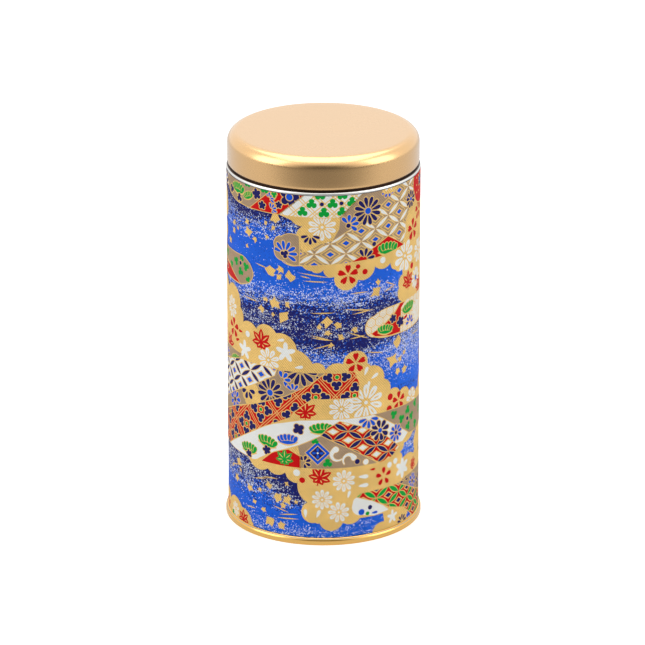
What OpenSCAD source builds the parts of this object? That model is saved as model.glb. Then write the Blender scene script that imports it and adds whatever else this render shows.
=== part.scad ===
// Round tea caddy: a tinplate can in a printed paper wrap, with a slip-on outer lid
// and a plug-in inner lid. Millimetres. +Z is up, and the origin is the middle of the
// ring that the can stands on. Every pressed piece is a section turned about Z.

/* [Can] */
// Outside diameter of the tinplate tube
body_d = 74.6; // [60:0.2:90]
// Height of the top edge of the tube above the table
body_h = 143.45; // [90:0.05:190]
// Thickness of the tinplate, the same in every pressed piece
tin_t = 0.28; // [0.2:0.01:0.34]
// Width of the welded lap where the tube's sheet meets itself
lap_w = 1.2; // [0.8:0.1:3]
// How far the lap stands in from the tube's wall
lap_t = 0.08; // [0.04:0.01:0.1]

/* [Paper wrap] */
// Thickness of the printed paper with its backing
paper_t = 0.2; // [0.1:0.01:0.3]
// Length of the glued overlap at the back
overlap_w = 8; // [4:0.5:20]

/* [Base end] */
// Height of the double seam that joins the base to the tube
seam_h = 3; // [2.6:0.1:4]
// Play between the layers of the double seam, which the sealing compound fills in part
seam_gap = 0.14; // [0.1:0.01:0.18]
// How far the base panel is set up from the table
panel_set = 4.2; // [3.6:0.1:8]
// Width of the stiffening step pressed into the base panel
panel_step_w = 3; // [1.5:0.1:6]
// Height of that step
panel_step_h = 0.8; // [0.4:0.1:1.4]

/* [Neck ring] */
// Depth of the sleeve that is pressed down into the tube
sleeve_h = 12; // [6:0.5:25]
// Height of the rolled bead that shows between the paper and the outer lid
bead_h = 1.3; // [1:0.05:2]
// How far the bead's rim stands past the tube's wall
bead_out = 0.3; // [0.05:0.01:0.5]
// Height of the neck above the bead, which the outer lid slides over
neck_h = 8.4; // [6:0.1:8.6]
// Outside radius of the curl around the mouth
curl_r = 0.62; // [0.6:0.01:0.8]

/* [Outer lid] */
// How far the lid's skirt is set in from the tube's wall
lid_in = 0.1; // [0:0.05:0.5]
// Height of the outer lid
lid_h = 12.45; // [12.2:0.05:18]
// Radius of the shoulder between the skirt and the top
shoulder_r = 4.3; // [3:0.1:4.8]
// Height of the hem folded in at the foot of the skirt
hem_h = 2.2; // [1.2:0.1:4]
// Gap between the hem and the bead below it, with the lid on
lid_gap = 0.7; // [0.2:0.05:0.8]
// Running clearance of the hem round the neck, on the radius
slip_gap = 0.12; // [0.05:0.01:0.2]

/* [Inner lid] */
// Running clearance of the plug in the mouth, on the radius
plug_gap = 0.1; // [0.05:0.01:0.15]
// Depth of the plug below its flange
plug_h = 7; // [5.5:0.1:12]
// Radius of the bend at the foot of the plug
plug_r = 1.2; // [0.8:0.1:2]

/* [Knob] */
// Diameter of the knob on the inner lid
knob_d = 15; // [10:0.5:24]
// Height of the knob above the inner lid's panel
knob_h = 5.6; // [5:0.1:6]
// Diameter of the rivet that holds the knob
rivet_d = 3.2; // [2:0.1:4]
// Height of the rivet's heads
rivet_head_h = 0.7; // [0.5:0.05:0.8]
// Diameter of the washer under the inner lid
washer_d = 9; // [7.5:0.5:12]
// Thickness of the washer
washer_t = 0.5; // [0.3:0.05:0.8]

/* [Hidden] */
$fn = 128;
arc_steps = 10;  // straight steps in a quarter turn of a section's arc
fit_gap = 0.02;  // between pieces that touch on the real can
loose_gap = 0.1; // between pieces that are only laid together

gold = [0.80, 0.63, 0.42];
seam_gold = [0.84, 0.61, 0.30];
tin = [0.78, 0.78, 0.77];

// The tube and its seam, from the wall outwards: tube, cover hook, body hook, seam wall.
tube_r = body_d / 2;
tube_in_r = tube_r - tin_t;
cover_in_r = tube_r + seam_gap;
cover_r = cover_in_r + tin_t;
hook_in_r = cover_r + seam_gap;
hook_r = hook_in_r + tin_t;
seam_in_r = hook_r + seam_gap;
seam_r = seam_in_r + tin_t;
chuck_r = tube_in_r - fit_gap;
hook_low = tin_t + fit_gap;            // the body hook's bend hangs just inside the base's
hook_top = seam_h - tin_t - 2 * seam_gap;
cover_low = hook_low + tin_t + 2 * seam_gap;
turn_r = (hook_r - tube_in_r) / 2;     // outside radius of the body hook's bend
turn_mid = (hook_r + tube_in_r) / 2;

// The neck ring, from the bottom of its sleeve to the curl.
bead_low = body_h + fit_gap;
bead_top = bead_low + bead_h;
bead_r = tube_r + bead_out;
sleeve_r = tube_in_r - lap_t - fit_gap;
lid_r = tube_r - lid_in;
lid_in_r = lid_r - tin_t;
hem_in_r = lid_in_r - tin_t;
neck_r = hem_in_r - slip_gap;
neck_top = bead_top + neck_h;
mouth_r = neck_r - 2 * curl_r;
curl_z = neck_top - curl_r;

// The lids.
lid_low = bead_top + lid_gap;
lid_top = lid_low + lid_h;
lid_under = lid_top - tin_t;
plug_wall_r = mouth_r - plug_gap;
flange_low = neck_top + fit_gap;
flange_r = neck_r - curl_r;
pan_z = flange_low - plug_h;           // underside of the inner lid's panel
pan_top = pan_z + tin_t;
shank_r = rivet_d / 2;
knob_low = pan_top + fit_gap;
knob_top = knob_low + knob_h;
washer_top = pan_z - fit_gap;

// Points of an arc about (x, z), from angle a to angle b, in degrees.
function arc(x, z, r, a, b) =
    let (n = max(2, ceil(abs(b - a) / 90 * arc_steps)))
    [for (i = [0 : n]) let (t = a + (b - a) * i / n) [x + r * cos(t), z + r * sin(t)]];

module turn(section) {
    rotate_extrude() polygon(section);
}

module band(inner, outer, low, high) {
    turn([[inner, low], [outer, low], [outer, high], [inner, high]]);
}

// Rolled tinplate sheet, welded at a lap, with its foot turned out and up as the body hook.
module body_tube() {
    color(tin) {
        turn(concat(
            [[tube_in_r, body_h], [tube_in_r, hook_low + turn_r]],
            arc(turn_mid, hook_low + turn_r, turn_r, 180, 360),
            [[hook_r, hook_top], [hook_in_r, hook_top], [hook_in_r, hook_low + turn_r]],
            arc(turn_mid, hook_low + turn_r, turn_r - tin_t, 360, 180),
            [[tube_r, body_h]]
        ));
        lap();
    }
}

// The lap stands inwards at the back, clear of the base's wall.
module lap() {
    half = asin(lap_w / 2 / tube_in_r);
    rotate([0, 0, 90 - half])
        rotate_extrude(angle = 2 * half)
            translate([tube_in_r - lap_t, panel_set + panel_step_h + 1])
                square([lap_t + tin_t / 2, body_h - panel_set - panel_step_h - 1]);
}

// One sheet round the tube. Its end is glued over its start at the back.
module paper_wrap() {
    low = seam_h + loose_gap / 2;
    reach = 2 * body_d;
    spread = reach * tan(asin(overlap_w / body_d));
    color([0.16, 0.36, 0.78])
        translate([0, 0, low]) linear_extrude(height = body_h - loose_gap / 2 - low) {
            difference() {
                circle(r = tube_r + paper_t);
                circle(r = tube_r + fit_gap / 2);
            }
            intersection() {
                difference() {
                    circle(r = tube_r + 2 * paper_t);
                    circle(r = tube_r + paper_t / 2);
                }
                polygon([[0, 0], [spread, reach], [-spread, reach]]);
            }
        }
}

// Pressed base: stepped panel, countersunk wall, and the outside of the double seam.
module base_end() {
    foot_r = 0.35;                        // bend at each side of the ring it stands on
    step_in_r = chuck_r - 2 - panel_step_w;
    color(seam_gold) turn(concat(
        [[0, panel_set + panel_step_h], [0, panel_set + panel_step_h - tin_t]],
        [[step_in_r, panel_set + panel_step_h - tin_t]],
        [[step_in_r + panel_step_h, panel_set - tin_t]],
        [[chuck_r - tin_t, panel_set - tin_t]],
        arc(chuck_r - tin_t + foot_r, foot_r, foot_r, 180, 270),
        arc(seam_r - foot_r, foot_r, foot_r, 270, 360),
        arc(seam_r - 1.6 * tin_t, seam_h - 1.6 * tin_t, 1.6 * tin_t, 0, 90),
        arc(cover_in_r + 0.8 * tin_t, seam_h - 0.8 * tin_t, 0.8 * tin_t, 90, 180),
        [[cover_in_r, cover_low], [cover_r, cover_low], [cover_r, seam_h - tin_t]],
        [[seam_in_r, seam_h - tin_t], [seam_in_r, tin_t], [chuck_r, tin_t]],
        [[chuck_r, panel_set], [step_in_r + panel_step_h, panel_set]],
        [[step_in_r, panel_set + panel_step_h]]
    ));
}

// Ring of sealing compound between the body hook's edge and the base's bend.
module seam_compound() {
    color([0.75, 0.73, 0.66])
        band(cover_r + fit_gap, seam_in_r - fit_gap, hook_top + fit_gap, seam_h - tin_t - fit_gap);
}

// Sleeve in the tube, rolled bead on the tube's edge, neck, and the curl round the mouth.
module neck_ring() {
    sleeve_in_r = sleeve_r - tin_t;
    neck_in_r = neck_r - tin_t;
    bend = min(0.45, bead_h / 3);         // outside bend of the bead's rim
    tuck = bend - tin_t / 2;              // and the inside bend
    color(tin) turn(concat(
        [[sleeve_in_r, body_h - sleeve_h], [sleeve_r, body_h - sleeve_h], [sleeve_r, bead_low]],
        arc(bead_r - bend, bead_low + bend, bend, 270, 360),
        arc(bead_r - bend * 1.4, bead_top - bend * 1.4, bend * 1.4, 0, 90),
        [[neck_r, bead_top], [neck_r, curl_z]],
        arc(neck_r - curl_r, curl_z, curl_r, 0, 270),
        arc(neck_r - curl_r, curl_z, curl_r - tin_t, 270, 0),
        [[neck_in_r, bead_top - tin_t]],
        arc(bead_r - tin_t - tuck, bead_top - tin_t - tuck, tuck, 90, 0),
        arc(bead_r - tin_t - tuck, bead_low + tin_t + tuck, tuck, 360, 270),
        [[sleeve_in_r, bead_low + tin_t]]
    ));
}

// Drawn cap: flat top, rounded shoulder, and a skirt with its foot folded in as a hem.
module outer_lid() {
    turn_up = tin_t * 0.9;
    color(gold) turn(concat(
        [[0, lid_top], [0, lid_under]],
        arc(lid_r - shoulder_r, lid_top - shoulder_r, shoulder_r - tin_t, 90, 0),
        [[lid_in_r, lid_low + hem_h], [hem_in_r, lid_low + hem_h]],
        arc(hem_in_r + turn_up, lid_low + turn_up, turn_up, 180, 270),
        arc(lid_r - turn_up, lid_low + turn_up, turn_up, 270, 360),
        arc(lid_r - shoulder_r, lid_top - shoulder_r, shoulder_r, 0, 90)
    ));
}

// Pan that plugs the mouth: flange on the curl, plug wall, and a flat panel.
module inner_lid_pan() {
    lip = tin_t / 2;
    inner = plug_wall_r - tin_t;
    color(tin) difference() {
        turn(concat(
            [[0, pan_z]],
            arc(plug_wall_r - plug_r, pan_z + plug_r, plug_r, 270, 360),
            [[plug_wall_r, flange_low]],
            arc(flange_r - lip, flange_low + lip, lip, 270, 450),
            [[inner, flange_low + tin_t]],
            arc(inner - plug_r + tin_t, pan_z + plug_r, plug_r - tin_t, 360, 270),
            [[0, pan_top]]
        ));
        translate([0, 0, pan_z - 1]) cylinder(r = shank_r + fit_gap, h = tin_t + 2);
    }
}

// Waisted button, bored for the rivet, with a recess for the rivet's head.
module inner_lid_knob() {
    knob_r = knob_d / 2;
    waist_r = knob_r * 0.55;
    rim = knob_h * 0.22;
    cup_z = knob_top - rivet_head_h - 0.3;
    color(gold) difference() {
        turn(concat(
            [[0, knob_low], [waist_r + 0.8, knob_low]],
            arc(waist_r + knob_h * 0.3, knob_low + knob_h * 0.3, knob_h * 0.3, 225, 135),
            arc(knob_r - rim, knob_top - rim, rim, -45, 90),
            [[0, knob_top]]
        ));
        translate([0, 0, knob_low - 1]) cylinder(r = shank_r + fit_gap, h = knob_h + 2);
        translate([0, 0, cup_z]) cylinder(r = shank_r + 1.4, h = knob_h);
    }
}

// Rivet through knob, pan and washer: a head in the knob's recess and a closed head below.
module knob_rivet() {
    head_r = shank_r + 1.2;
    seat_z = knob_top - rivet_head_h - 0.3 + fit_gap;
    foot_z = washer_top - washer_t - fit_gap;
    color(tin) turn(concat(
        [[0, foot_z - rivet_head_h], [shank_r, foot_z - rivet_head_h]],
        [[head_r, foot_z - rivet_head_h / 2], [head_r, foot_z], [shank_r, foot_z]],
        [[shank_r, seat_z], [head_r, seat_z], [head_r, seat_z + rivet_head_h / 2]],
        [[shank_r, seat_z + rivet_head_h], [0, seat_z + rivet_head_h]]
    ));
}

// Plain washer that spreads the rivet's closed head under the pan.
module rivet_washer() {
    color(tin) difference() {
        translate([0, 0, washer_top - washer_t]) cylinder(d = washer_d, h = washer_t);
        translate([0, 0, washer_top - 2 * washer_t])
            cylinder(r = shank_r + fit_gap, h = 3 * washer_t);
    }
}

body_tube();
paper_wrap();
base_end();
seam_compound();
neck_ring();
outer_lid();
inner_lid_pan();
inner_lid_knob();
knob_rivet();
rivet_washer();
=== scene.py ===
import math
import random

import bmesh
import bpy
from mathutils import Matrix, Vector
from mathutils.geometry import delaunay_2d_cdt


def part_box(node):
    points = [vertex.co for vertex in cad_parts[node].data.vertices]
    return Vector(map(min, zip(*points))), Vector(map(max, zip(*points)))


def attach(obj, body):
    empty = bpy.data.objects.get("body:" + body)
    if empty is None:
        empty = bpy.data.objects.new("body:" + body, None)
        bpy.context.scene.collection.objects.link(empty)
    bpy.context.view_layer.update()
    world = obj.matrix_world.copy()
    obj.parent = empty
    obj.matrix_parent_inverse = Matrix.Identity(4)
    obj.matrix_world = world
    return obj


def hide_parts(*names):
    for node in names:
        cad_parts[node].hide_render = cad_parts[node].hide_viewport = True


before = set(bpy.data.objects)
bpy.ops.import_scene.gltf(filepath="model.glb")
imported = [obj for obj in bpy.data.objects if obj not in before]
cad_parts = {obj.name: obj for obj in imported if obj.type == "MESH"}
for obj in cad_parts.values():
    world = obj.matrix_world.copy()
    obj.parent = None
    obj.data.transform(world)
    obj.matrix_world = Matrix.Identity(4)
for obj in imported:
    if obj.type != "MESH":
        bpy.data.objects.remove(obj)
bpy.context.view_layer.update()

mm = 0.001
pi = math.pi
lowWrap, highWrap = (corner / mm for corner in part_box("paper_wrap"))
sheet = {
    "radius": highWrap.x,          # outside of the paper
    "low": lowWrap.z,
    "high": highWrap.z,
    "thick": 0.19,
    "facets": 120,                 # flats round the can, shared by the paper and every ink
    "overlap": 2,                  # half the glued overlap, in flats
    "lip": 0.2,                    # how far the overlap's end stands out
    "lift": 0.012,                 # from one layer of the print to the next
    "stack": 1.6,                  # layers between one copy of the artwork and the next
}
flat = 2 * pi * sheet["radius"] / sheet["facets"]
sheetStart = -(sheet["facets"] / 2 - sheet["overlap"]) * flat
sheetEnd = (sheet["facets"] / 2 + sheet["overlap"]) * flat
sheetWide = sheetEnd - sheetStart
overlapFrom = sheetEnd - (2 * sheet["overlap"] + 0.25) * flat
sheetTall = sheet["high"] - sheet["low"]


# Node helpers.

def newTree(name, kind, inputs, outputs):
    tree = bpy.data.node_groups.new(name, kind)
    for label, (socketKind, value) in inputs.items():
        socket = tree.interface.new_socket(label, in_out="INPUT", socket_type=socketKind)
        if value is not None:
            socket.default_value = value
    for label, socketKind in outputs.items():
        tree.interface.new_socket(label, in_out="OUTPUT", socket_type=socketKind)
    return tree


def add(tree, kind, settings=None, **inputs):
    # One node; an input is a number, a colour or another node's socket.
    node = tree.nodes.new(kind)
    for key, value in (settings or {}).items():
        setattr(node, key, value)
    for key, value in inputs.items():
        numbered = key[0] == "i" and key[1:].isdigit()
        slot = node.inputs[int(key[1:]) if numbered else key.replace("_", " ")]
        if isinstance(value, bpy.types.NodeSocket):
            tree.links.new(value, slot)
        else:
            slot.default_value = value
    return node


def calc(tree, operation, a, b=0.0):
    return add(tree, "ShaderNodeMath", {"operation": operation}, i0=a, i1=b).outputs[0]


def ranged(tree, value, low, high, toLow=0.0, toHigh=1.0, smooth=False):
    # Carries one range of values over to another, and holds at both ends.
    settings = {"interpolation_type": "SMOOTHSTEP" if smooth else "LINEAR"}
    return add(tree, "ShaderNodeMapRange", settings, Value=value, From_Min=low, From_Max=high, To_Min=toLow,
               To_Max=toHigh).outputs[0]


def stretch(tree, place, scale, turn=0.0):
    return add(tree, "ShaderNodeMapping", None, Vector=place, Rotation=(0, 0, turn), Scale=scale).outputs[0]


def noise(tree, place, scale, detail, **more):
    return add(tree, "ShaderNodeTexNoise", None, Vector=place, Scale=scale, Detail=detail, **more).outputs[0]


def mixed(tree, share, first, second):
    # One colour turned into another by a share from 0 to 1.
    return add(tree, "ShaderNodeMix", {"data_type": "RGBA"}, i0=share, i6=first, i7=second).outputs[2]


def applied(obj, tree, values):
    # Runs a Geometry Nodes tree on an object and keeps only the mesh that it makes.
    modifier = obj.modifiers.new(tree.name, "NODES")
    modifier.node_group = tree
    for item in tree.interface.items_tree:
        if item.item_type == "SOCKET" and item.in_out == "INPUT" and item.name in values:
            modifier[item.identifier] = values[item.name]
    made = bpy.data.meshes.new_from_object(obj.evaluated_get(bpy.context.evaluated_depsgraph_get()))
    obj.modifiers.remove(modifier)
    obj.data = made
    made.name = obj.name
    return obj


def newObject(name, points, edges=(), faces=()):
    mesh = bpy.data.meshes.new(name)
    mesh.from_pydata(points, edges, faces)
    obj = bpy.data.objects.new(name, mesh)
    bpy.context.scene.collection.objects.link(obj)
    return obj


# Geometry trees.

def finished(tree, source, last):
    # Ends a tree with plain geometry in its material.
    real = add(tree, "GeometryNodeRealizeInstances", None, Geometry=last.outputs[0])
    dressed = add(tree, "GeometryNodeSetMaterial", None, Geometry=real.outputs[0],
                  Material=source.outputs["Material"])
    tree.links.new(dressed.outputs[0], tree.nodes.new("NodeGroupOutput").inputs[0])
    return tree


def makeLatheTree():
    # Turns the object's own closed section about Z.
    tree = newTree("latheSection", "GeometryNodeTree", {
        "Section": ("NodeSocketGeometry", None), "Points": ("NodeSocketInt", 40),
        "Segments": ("NodeSocketInt", 192), "Material": ("NodeSocketMaterial", None),
    }, {"Mesh": "NodeSocketGeometry"})
    source = tree.nodes.new("NodeGroupInput")
    count = source.outputs["Points"]
    rows = calc(tree, "ADD", count, 1)
    columns = calc(tree, "ADD", source.outputs["Segments"], 1)
    grid = add(tree, "GeometryNodeMeshGrid", None, Size_X=1.0, Size_Y=1.0, Vertices_X=rows,
               Vertices_Y=columns)
    position = tree.nodes.new("GeometryNodeInputPosition").outputs[0]
    place = add(tree, "ShaderNodeSeparateXYZ", None, i0=position)
    row = calc(tree, "ROUND", calc(tree, "MULTIPLY", calc(tree, "ADD", place.outputs[0], 0.5), count))
    row = calc(tree, "MODULO", row, count)
    angle = calc(tree, "MULTIPLY", calc(tree, "ADD", place.outputs[1], 0.5), 2 * pi)
    sample = add(tree, "GeometryNodeSampleIndex", {"data_type": "FLOAT_VECTOR", "domain": "POINT"},
                 Geometry=source.outputs["Section"], Index=row, Value=position)
    section = add(tree, "ShaderNodeSeparateXYZ", None, i0=sample.outputs[0])
    x = calc(tree, "MULTIPLY", section.outputs[0], calc(tree, "COSINE", angle))
    y = calc(tree, "MULTIPLY", section.outputs[0], calc(tree, "SINE", angle))
    target = add(tree, "ShaderNodeCombineXYZ", None, X=x, Y=y, Z=section.outputs[2])
    moved = add(tree, "GeometryNodeSetPosition", None, Geometry=grid.outputs["Mesh"],
                Position=target.outputs[0])
    merged = add(tree, "GeometryNodeMergeByDistance", None, Geometry=moved.outputs[0], Distance=1e-6)
    return finished(tree, source, merged)


def makeWrapTree():
    # Bends a flat mesh round the can: x is the way round, y the height and z the lift off the paper.
    tree = newTree("wrapRoundCan", "GeometryNodeTree", {
        "Sheet": ("NodeSocketGeometry", None), "Radius": ("NodeSocketFloat", 0.0375),
        "Flats": ("NodeSocketInt", 120), "Overlap From": ("NodeSocketFloat", 0.1138),
        "Overlap Lip": ("NodeSocketFloat", 0.0002), "Material": ("NodeSocketMaterial", None),
    }, {"Mesh": "NodeSocketGeometry"})
    source = tree.nodes.new("NodeGroupInput")
    position = tree.nodes.new("GeometryNodeInputPosition").outputs[0]
    place = add(tree, "ShaderNodeSeparateXYZ", None, i0=position)
    radius, flats = source.outputs["Radius"], source.outputs["Flats"]
    step = calc(tree, "DIVIDE", 2 * pi, flats)
    along = calc(tree, "DIVIDE", place.outputs[0], calc(tree, "MULTIPLY", radius, step))
    first = calc(tree, "FLOOR", calc(tree, "ADD", along, 1e-5))
    part = calc(tree, "SUBTRACT", along, first)
    left = calc(tree, "MULTIPLY", first, step)
    right = calc(tree, "ADD", left, step)
    rest = calc(tree, "SUBTRACT", 1.0, part)
    sine = calc(tree, "ADD", calc(tree, "MULTIPLY", rest, calc(tree, "SINE", left)),
                calc(tree, "MULTIPLY", part, calc(tree, "SINE", right)))
    cosine = calc(tree, "ADD", calc(tree, "MULTIPLY", rest, calc(tree, "COSINE", left)),
                  calc(tree, "MULTIPLY", part, calc(tree, "COSINE", right)))
    ramp = calc(tree, "DIVIDE", calc(tree, "SUBTRACT", place.outputs[0], source.outputs["Overlap From"]),
                calc(tree, "MULTIPLY", calc(tree, "MULTIPLY", radius, step), 0.25))
    lip = calc(tree, "MULTIPLY", calc(tree, "MINIMUM", calc(tree, "MAXIMUM", ramp, 0.0), 1.0),
               source.outputs["Overlap Lip"])
    reach = calc(tree, "ADD", calc(tree, "ADD", radius, place.outputs[2]), lip)
    target = add(tree, "ShaderNodeCombineXYZ", None, X=calc(tree, "MULTIPLY", reach, sine),
                 Y=calc(tree, "MULTIPLY", calc(tree, "MULTIPLY", reach, cosine), -1.0), Z=place.outputs[1])
    moved = add(tree, "GeometryNodeSetPosition", None, Geometry=source.outputs["Sheet"],
                Position=target.outputs[0])
    return finished(tree, source, moved)


latheTree = makeLatheTree()
wrapTree = makeWrapTree()


def arc(x, z, r, start, end, steps=8):
    return [(x + r * math.cos(math.radians(start + (end - start) * i / steps)),
             z + r * math.sin(math.radians(start + (end - start) * i / steps))) for i in range(steps + 1)]


def turned(name, section, material, segments=192, crease=40):
    # A lathe piece from a closed section of (radius, height) points in millimetres.
    points = []
    for r, z in section:
        if not points or math.dist(points[-1], (r, z)) > 1e-4:
            points.append((r, z))
    count = len(points)
    edges = [(i, (i + 1) % count) for i in range(count)]
    obj = newObject(name, [(r * mm, 0, z * mm) for r, z in points], edges)
    applied(obj, latheTree, {"Points": count, "Segments": segments, "Material": material})
    work = bmesh.new()
    work.from_mesh(obj.data)
    bmesh.ops.remove_doubles(work, verts=work.verts, dist=1e-6)
    bmesh.ops.recalc_face_normals(work, faces=work.faces)
    for face in work.faces:
        face.smooth = True
    work.to_mesh(obj.data)
    work.free()
    obj.data.set_sharp_from_angle(angle=math.radians(crease))
    return obj


# Finishes.

def linear(red, green, blue):
    # A colour as it looks on screen, 0 to 255, turned to the values that shaders take.
    shades = [((c / 255 + 0.055) / 1.055) ** 2.4 if c > 10 else c / 3294 for c in (red, green, blue)]
    return (*shades, 1)


def newMaterial(name, **sockets):
    material = bpy.data.materials.new(name)
    material.use_nodes = True
    tree = material.node_tree
    shader = tree.nodes["Principled BSDF"]
    for key, value in sockets.items():
        shader.inputs[key.replace("_", " ")].default_value = value
    return material, tree, shader


def placeGroup(tree, group, **inputs):
    return add(tree, "ShaderNodeGroup", {"node_tree": group}, **inputs)


def putOut(tree, source, level, rough, height):
    # What both surface groups give: the colour at its level, a roughness and a height.
    tinted = add(tree, "ShaderNodeVectorMath", {"operation": "SCALE"}, i0=source.outputs["Color"],
                 Scale=level)
    out = tree.nodes.new("NodeGroupOutput")
    tree.links.new(tinted.outputs[0], out.inputs["Color"])
    tree.links.new(rough, out.inputs["Roughness"])
    tree.links.new(height, out.inputs["Height"])
    return tree


def swung(tree, value, by):
    # A noise swung about nought, by as much as the other input says.
    return calc(tree, "MULTIPLY", calc(tree, "SUBTRACT", value, 0.5), by)


def sheetPlace(tree):
    # Millimetres across and up the flat sheet.
    uv = add(tree, "ShaderNodeUVMap", {"uv_map": "OFBake"}).outputs[0]
    return stretch(tree, uv, (sheetWide, sheetTall, 1))


def makePaperGrain():
    # Mulberry paper under ink: soft fibres, fine tooth and the slant of the printing screen.
    tree = newTree("paperGrain", "ShaderNodeTree", {
        "Color": ("NodeSocketColor", (0.5, 0.5, 0.5, 1)), "Mottle": ("NodeSocketFloat", 0.1),
        "Screen": ("NodeSocketFloat", 0.05), "Fibres": ("NodeSocketFloat", 0.1),
    }, {"Color": "NodeSocketColor", "Roughness": "NodeSocketFloat", "Height": "NodeSocketFloat"})
    source = tree.nodes.new("NodeGroupInput")
    place = sheetPlace(tree)
    tooth = noise(tree, place, 1.5, 4.0, Roughness=0.7)
    cloudy = noise(tree, place, 0.12, 3.0)
    fibre = noise(tree, stretch(tree, place, (0.22, 2.6, 1), 0.5), 1.0, 3.0, Distortion=0.8)
    fibre = ranged(tree, fibre, 0.56, 0.72)
    slanted = stretch(tree, place, (1, 1, 1), -0.72)
    screen = add(tree, "ShaderNodeTexWave", {"wave_type": "BANDS"}, Vector=slanted, Scale=0.42,
                 Distortion=1.6, Detail=1.0, Detail_Scale=0.7).outputs[1]
    shade = swung(tree, tooth, source.outputs["Mottle"])
    soft = swung(tree, cloudy, calc(tree, "MULTIPLY", source.outputs["Mottle"], 0.6))
    shade = calc(tree, "ADD", shade, soft)
    shade = calc(tree, "ADD", shade, swung(tree, screen, source.outputs["Screen"]))
    shade = calc(tree, "ADD", shade, calc(tree, "MULTIPLY", fibre, source.outputs["Fibres"]))
    level = calc(tree, "ADD", shade, 1.0)
    rough = calc(tree, "ADD", 0.42, calc(tree, "MULTIPLY", tooth, 0.25))
    height = calc(tree, "ADD", tooth, calc(tree, "MULTIPLY", fibre, 0.5))
    height = calc(tree, "ADD", height, calc(tree, "MULTIPLY", screen, 0.25))
    return putOut(tree, source, level, rough, height)


def makeDrawnPlate():
    # Pressed and rolled plate: fine specks in the lacquer, long draw marks and soft handling haze.
    tree = newTree("drawnPlate", "ShaderNodeTree", {
        "Color": ("NodeSocketColor", (0.8, 0.8, 0.8, 1)), "Rough": ("NodeSocketFloat", 0.3),
        "Haze": ("NodeSocketFloat", 0.05), "Speck": ("NodeSocketFloat", 0.04),
        "Draw": ("NodeSocketFloat", 0.03),
    }, {"Color": "NodeSocketColor", "Roughness": "NodeSocketFloat", "Height": "NodeSocketFloat"})
    source = tree.nodes.new("NodeGroupInput")
    place = add(tree, "ShaderNodeTexCoord").outputs["Object"]
    speck = swung(tree, noise(tree, place, 1400.0, 2.0), source.outputs["Speck"])
    haze = swung(tree, noise(tree, place, 55.0, 3.0, Roughness=0.55), source.outputs["Haze"])
    marks = swung(tree, noise(tree, stretch(tree, place, (60, 60, 1800)), 1.0, 2.0), source.outputs["Draw"])
    level = calc(tree, "ADD", calc(tree, "ADD", 1.0, speck), calc(tree, "MULTIPLY", haze, 0.5))
    rough = calc(tree, "ADD", source.outputs["Rough"], haze)
    rough = calc(tree, "ADD", rough, calc(tree, "ADD", marks, speck))
    height = calc(tree, "ADD", speck, calc(tree, "ADD", marks, calc(tree, "MULTIPLY", haze, 2.0)))
    return putOut(tree, source, level, rough, height)


paperGrain = makePaperGrain()
drawnPlate = makeDrawnPlate()


def surfaced(tree, shader, group, bump):
    # Joins a surface group to its shader; bump is the height of its relief in millimetres.
    tree.links.new(group.outputs["Color"], shader.inputs["Base Color"])
    tree.links.new(group.outputs["Roughness"], shader.inputs["Roughness"])
    relief = add(tree, "ShaderNodeBump", None, Height=group.outputs["Height"], Distance=bump * mm,
                 Strength=1.0)
    tree.links.new(relief.outputs[0], shader.inputs["Normal"])


def inkMaterial(name, color, mottle=0.1, screen=0.03, fibres=0.05, metal=0.0, bump=0.02):
    material, tree, shader = newMaterial(name, Metallic=metal, Specular_IOR_Level=0.1)
    grain = placeGroup(tree, paperGrain, Color=color, Mottle=mottle, Screen=screen, Fibres=fibres)
    surfaced(tree, shader, grain, bump)
    return material


def plateMaterial(name, color, rough, haze=0.05, speck=0.03, draw=0.03, bump=0.01, coat=0.0, paintedShade=None):
    # A ring of painted shade where another piece sits close over this one, for the shadow in the narrow gap:
    # (height, half its width, colour).
    material, tree, shader = newMaterial(name, Metallic=1.0, Coat_Weight=coat, Coat_Roughness=0.2)
    if paintedShade:
        height, half, shadeColour = paintedShade
        # Painted shade: within that band of height the colour turns to the darker one.
        place = add(tree, "ShaderNodeSeparateXYZ", None, i0=add(tree, "ShaderNodeTexCoord").outputs["Object"])
        away = calc(tree, "ABSOLUTE", calc(tree, "SUBTRACT", place.outputs[2], height * mm))
        ring = ranged(tree, away, half * mm, (half + 0.12) * mm, 1.0, 0.0)
        color = mixed(tree, ring, color, shadeColour)
    plate = placeGroup(tree, drawnPlate, Color=color, Rough=rough, Haze=haze, Speck=speck, Draw=draw)
    surfaced(tree, shader, plate, bump)
    return material


inks = {
    "gold": inkMaterial("goldInk", linear(229, 189, 112), 0.9, 0.42, 0.06, 0.12),
    "line": inkMaterial("goldLineInk", linear(232, 192, 114), 0.2, 0.0, 0.0, 0.12),
    "taupe": inkMaterial("taupeInk", linear(166, 140, 112), 0.7, 0.3, 0.1, 0.1),
    "white": inkMaterial("whiteInk", linear(227, 228, 224), 0.3, 0.14, 0.06),
    "red": inkMaterial("redInk", linear(197, 4, 8), 0.3, 0.1, 0.08),
    "green": inkMaterial("greenInk", linear(0, 156, 55), 0.3, 0.1, 0.08),
    "navy": inkMaterial("navyInk", linear(30, 28, 92), 0.2, 0.02, 0.12),
    "blue": inkMaterial("blueInk", linear(18, 84, 206), 0.16, 0.02, 0.1),
}

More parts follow.
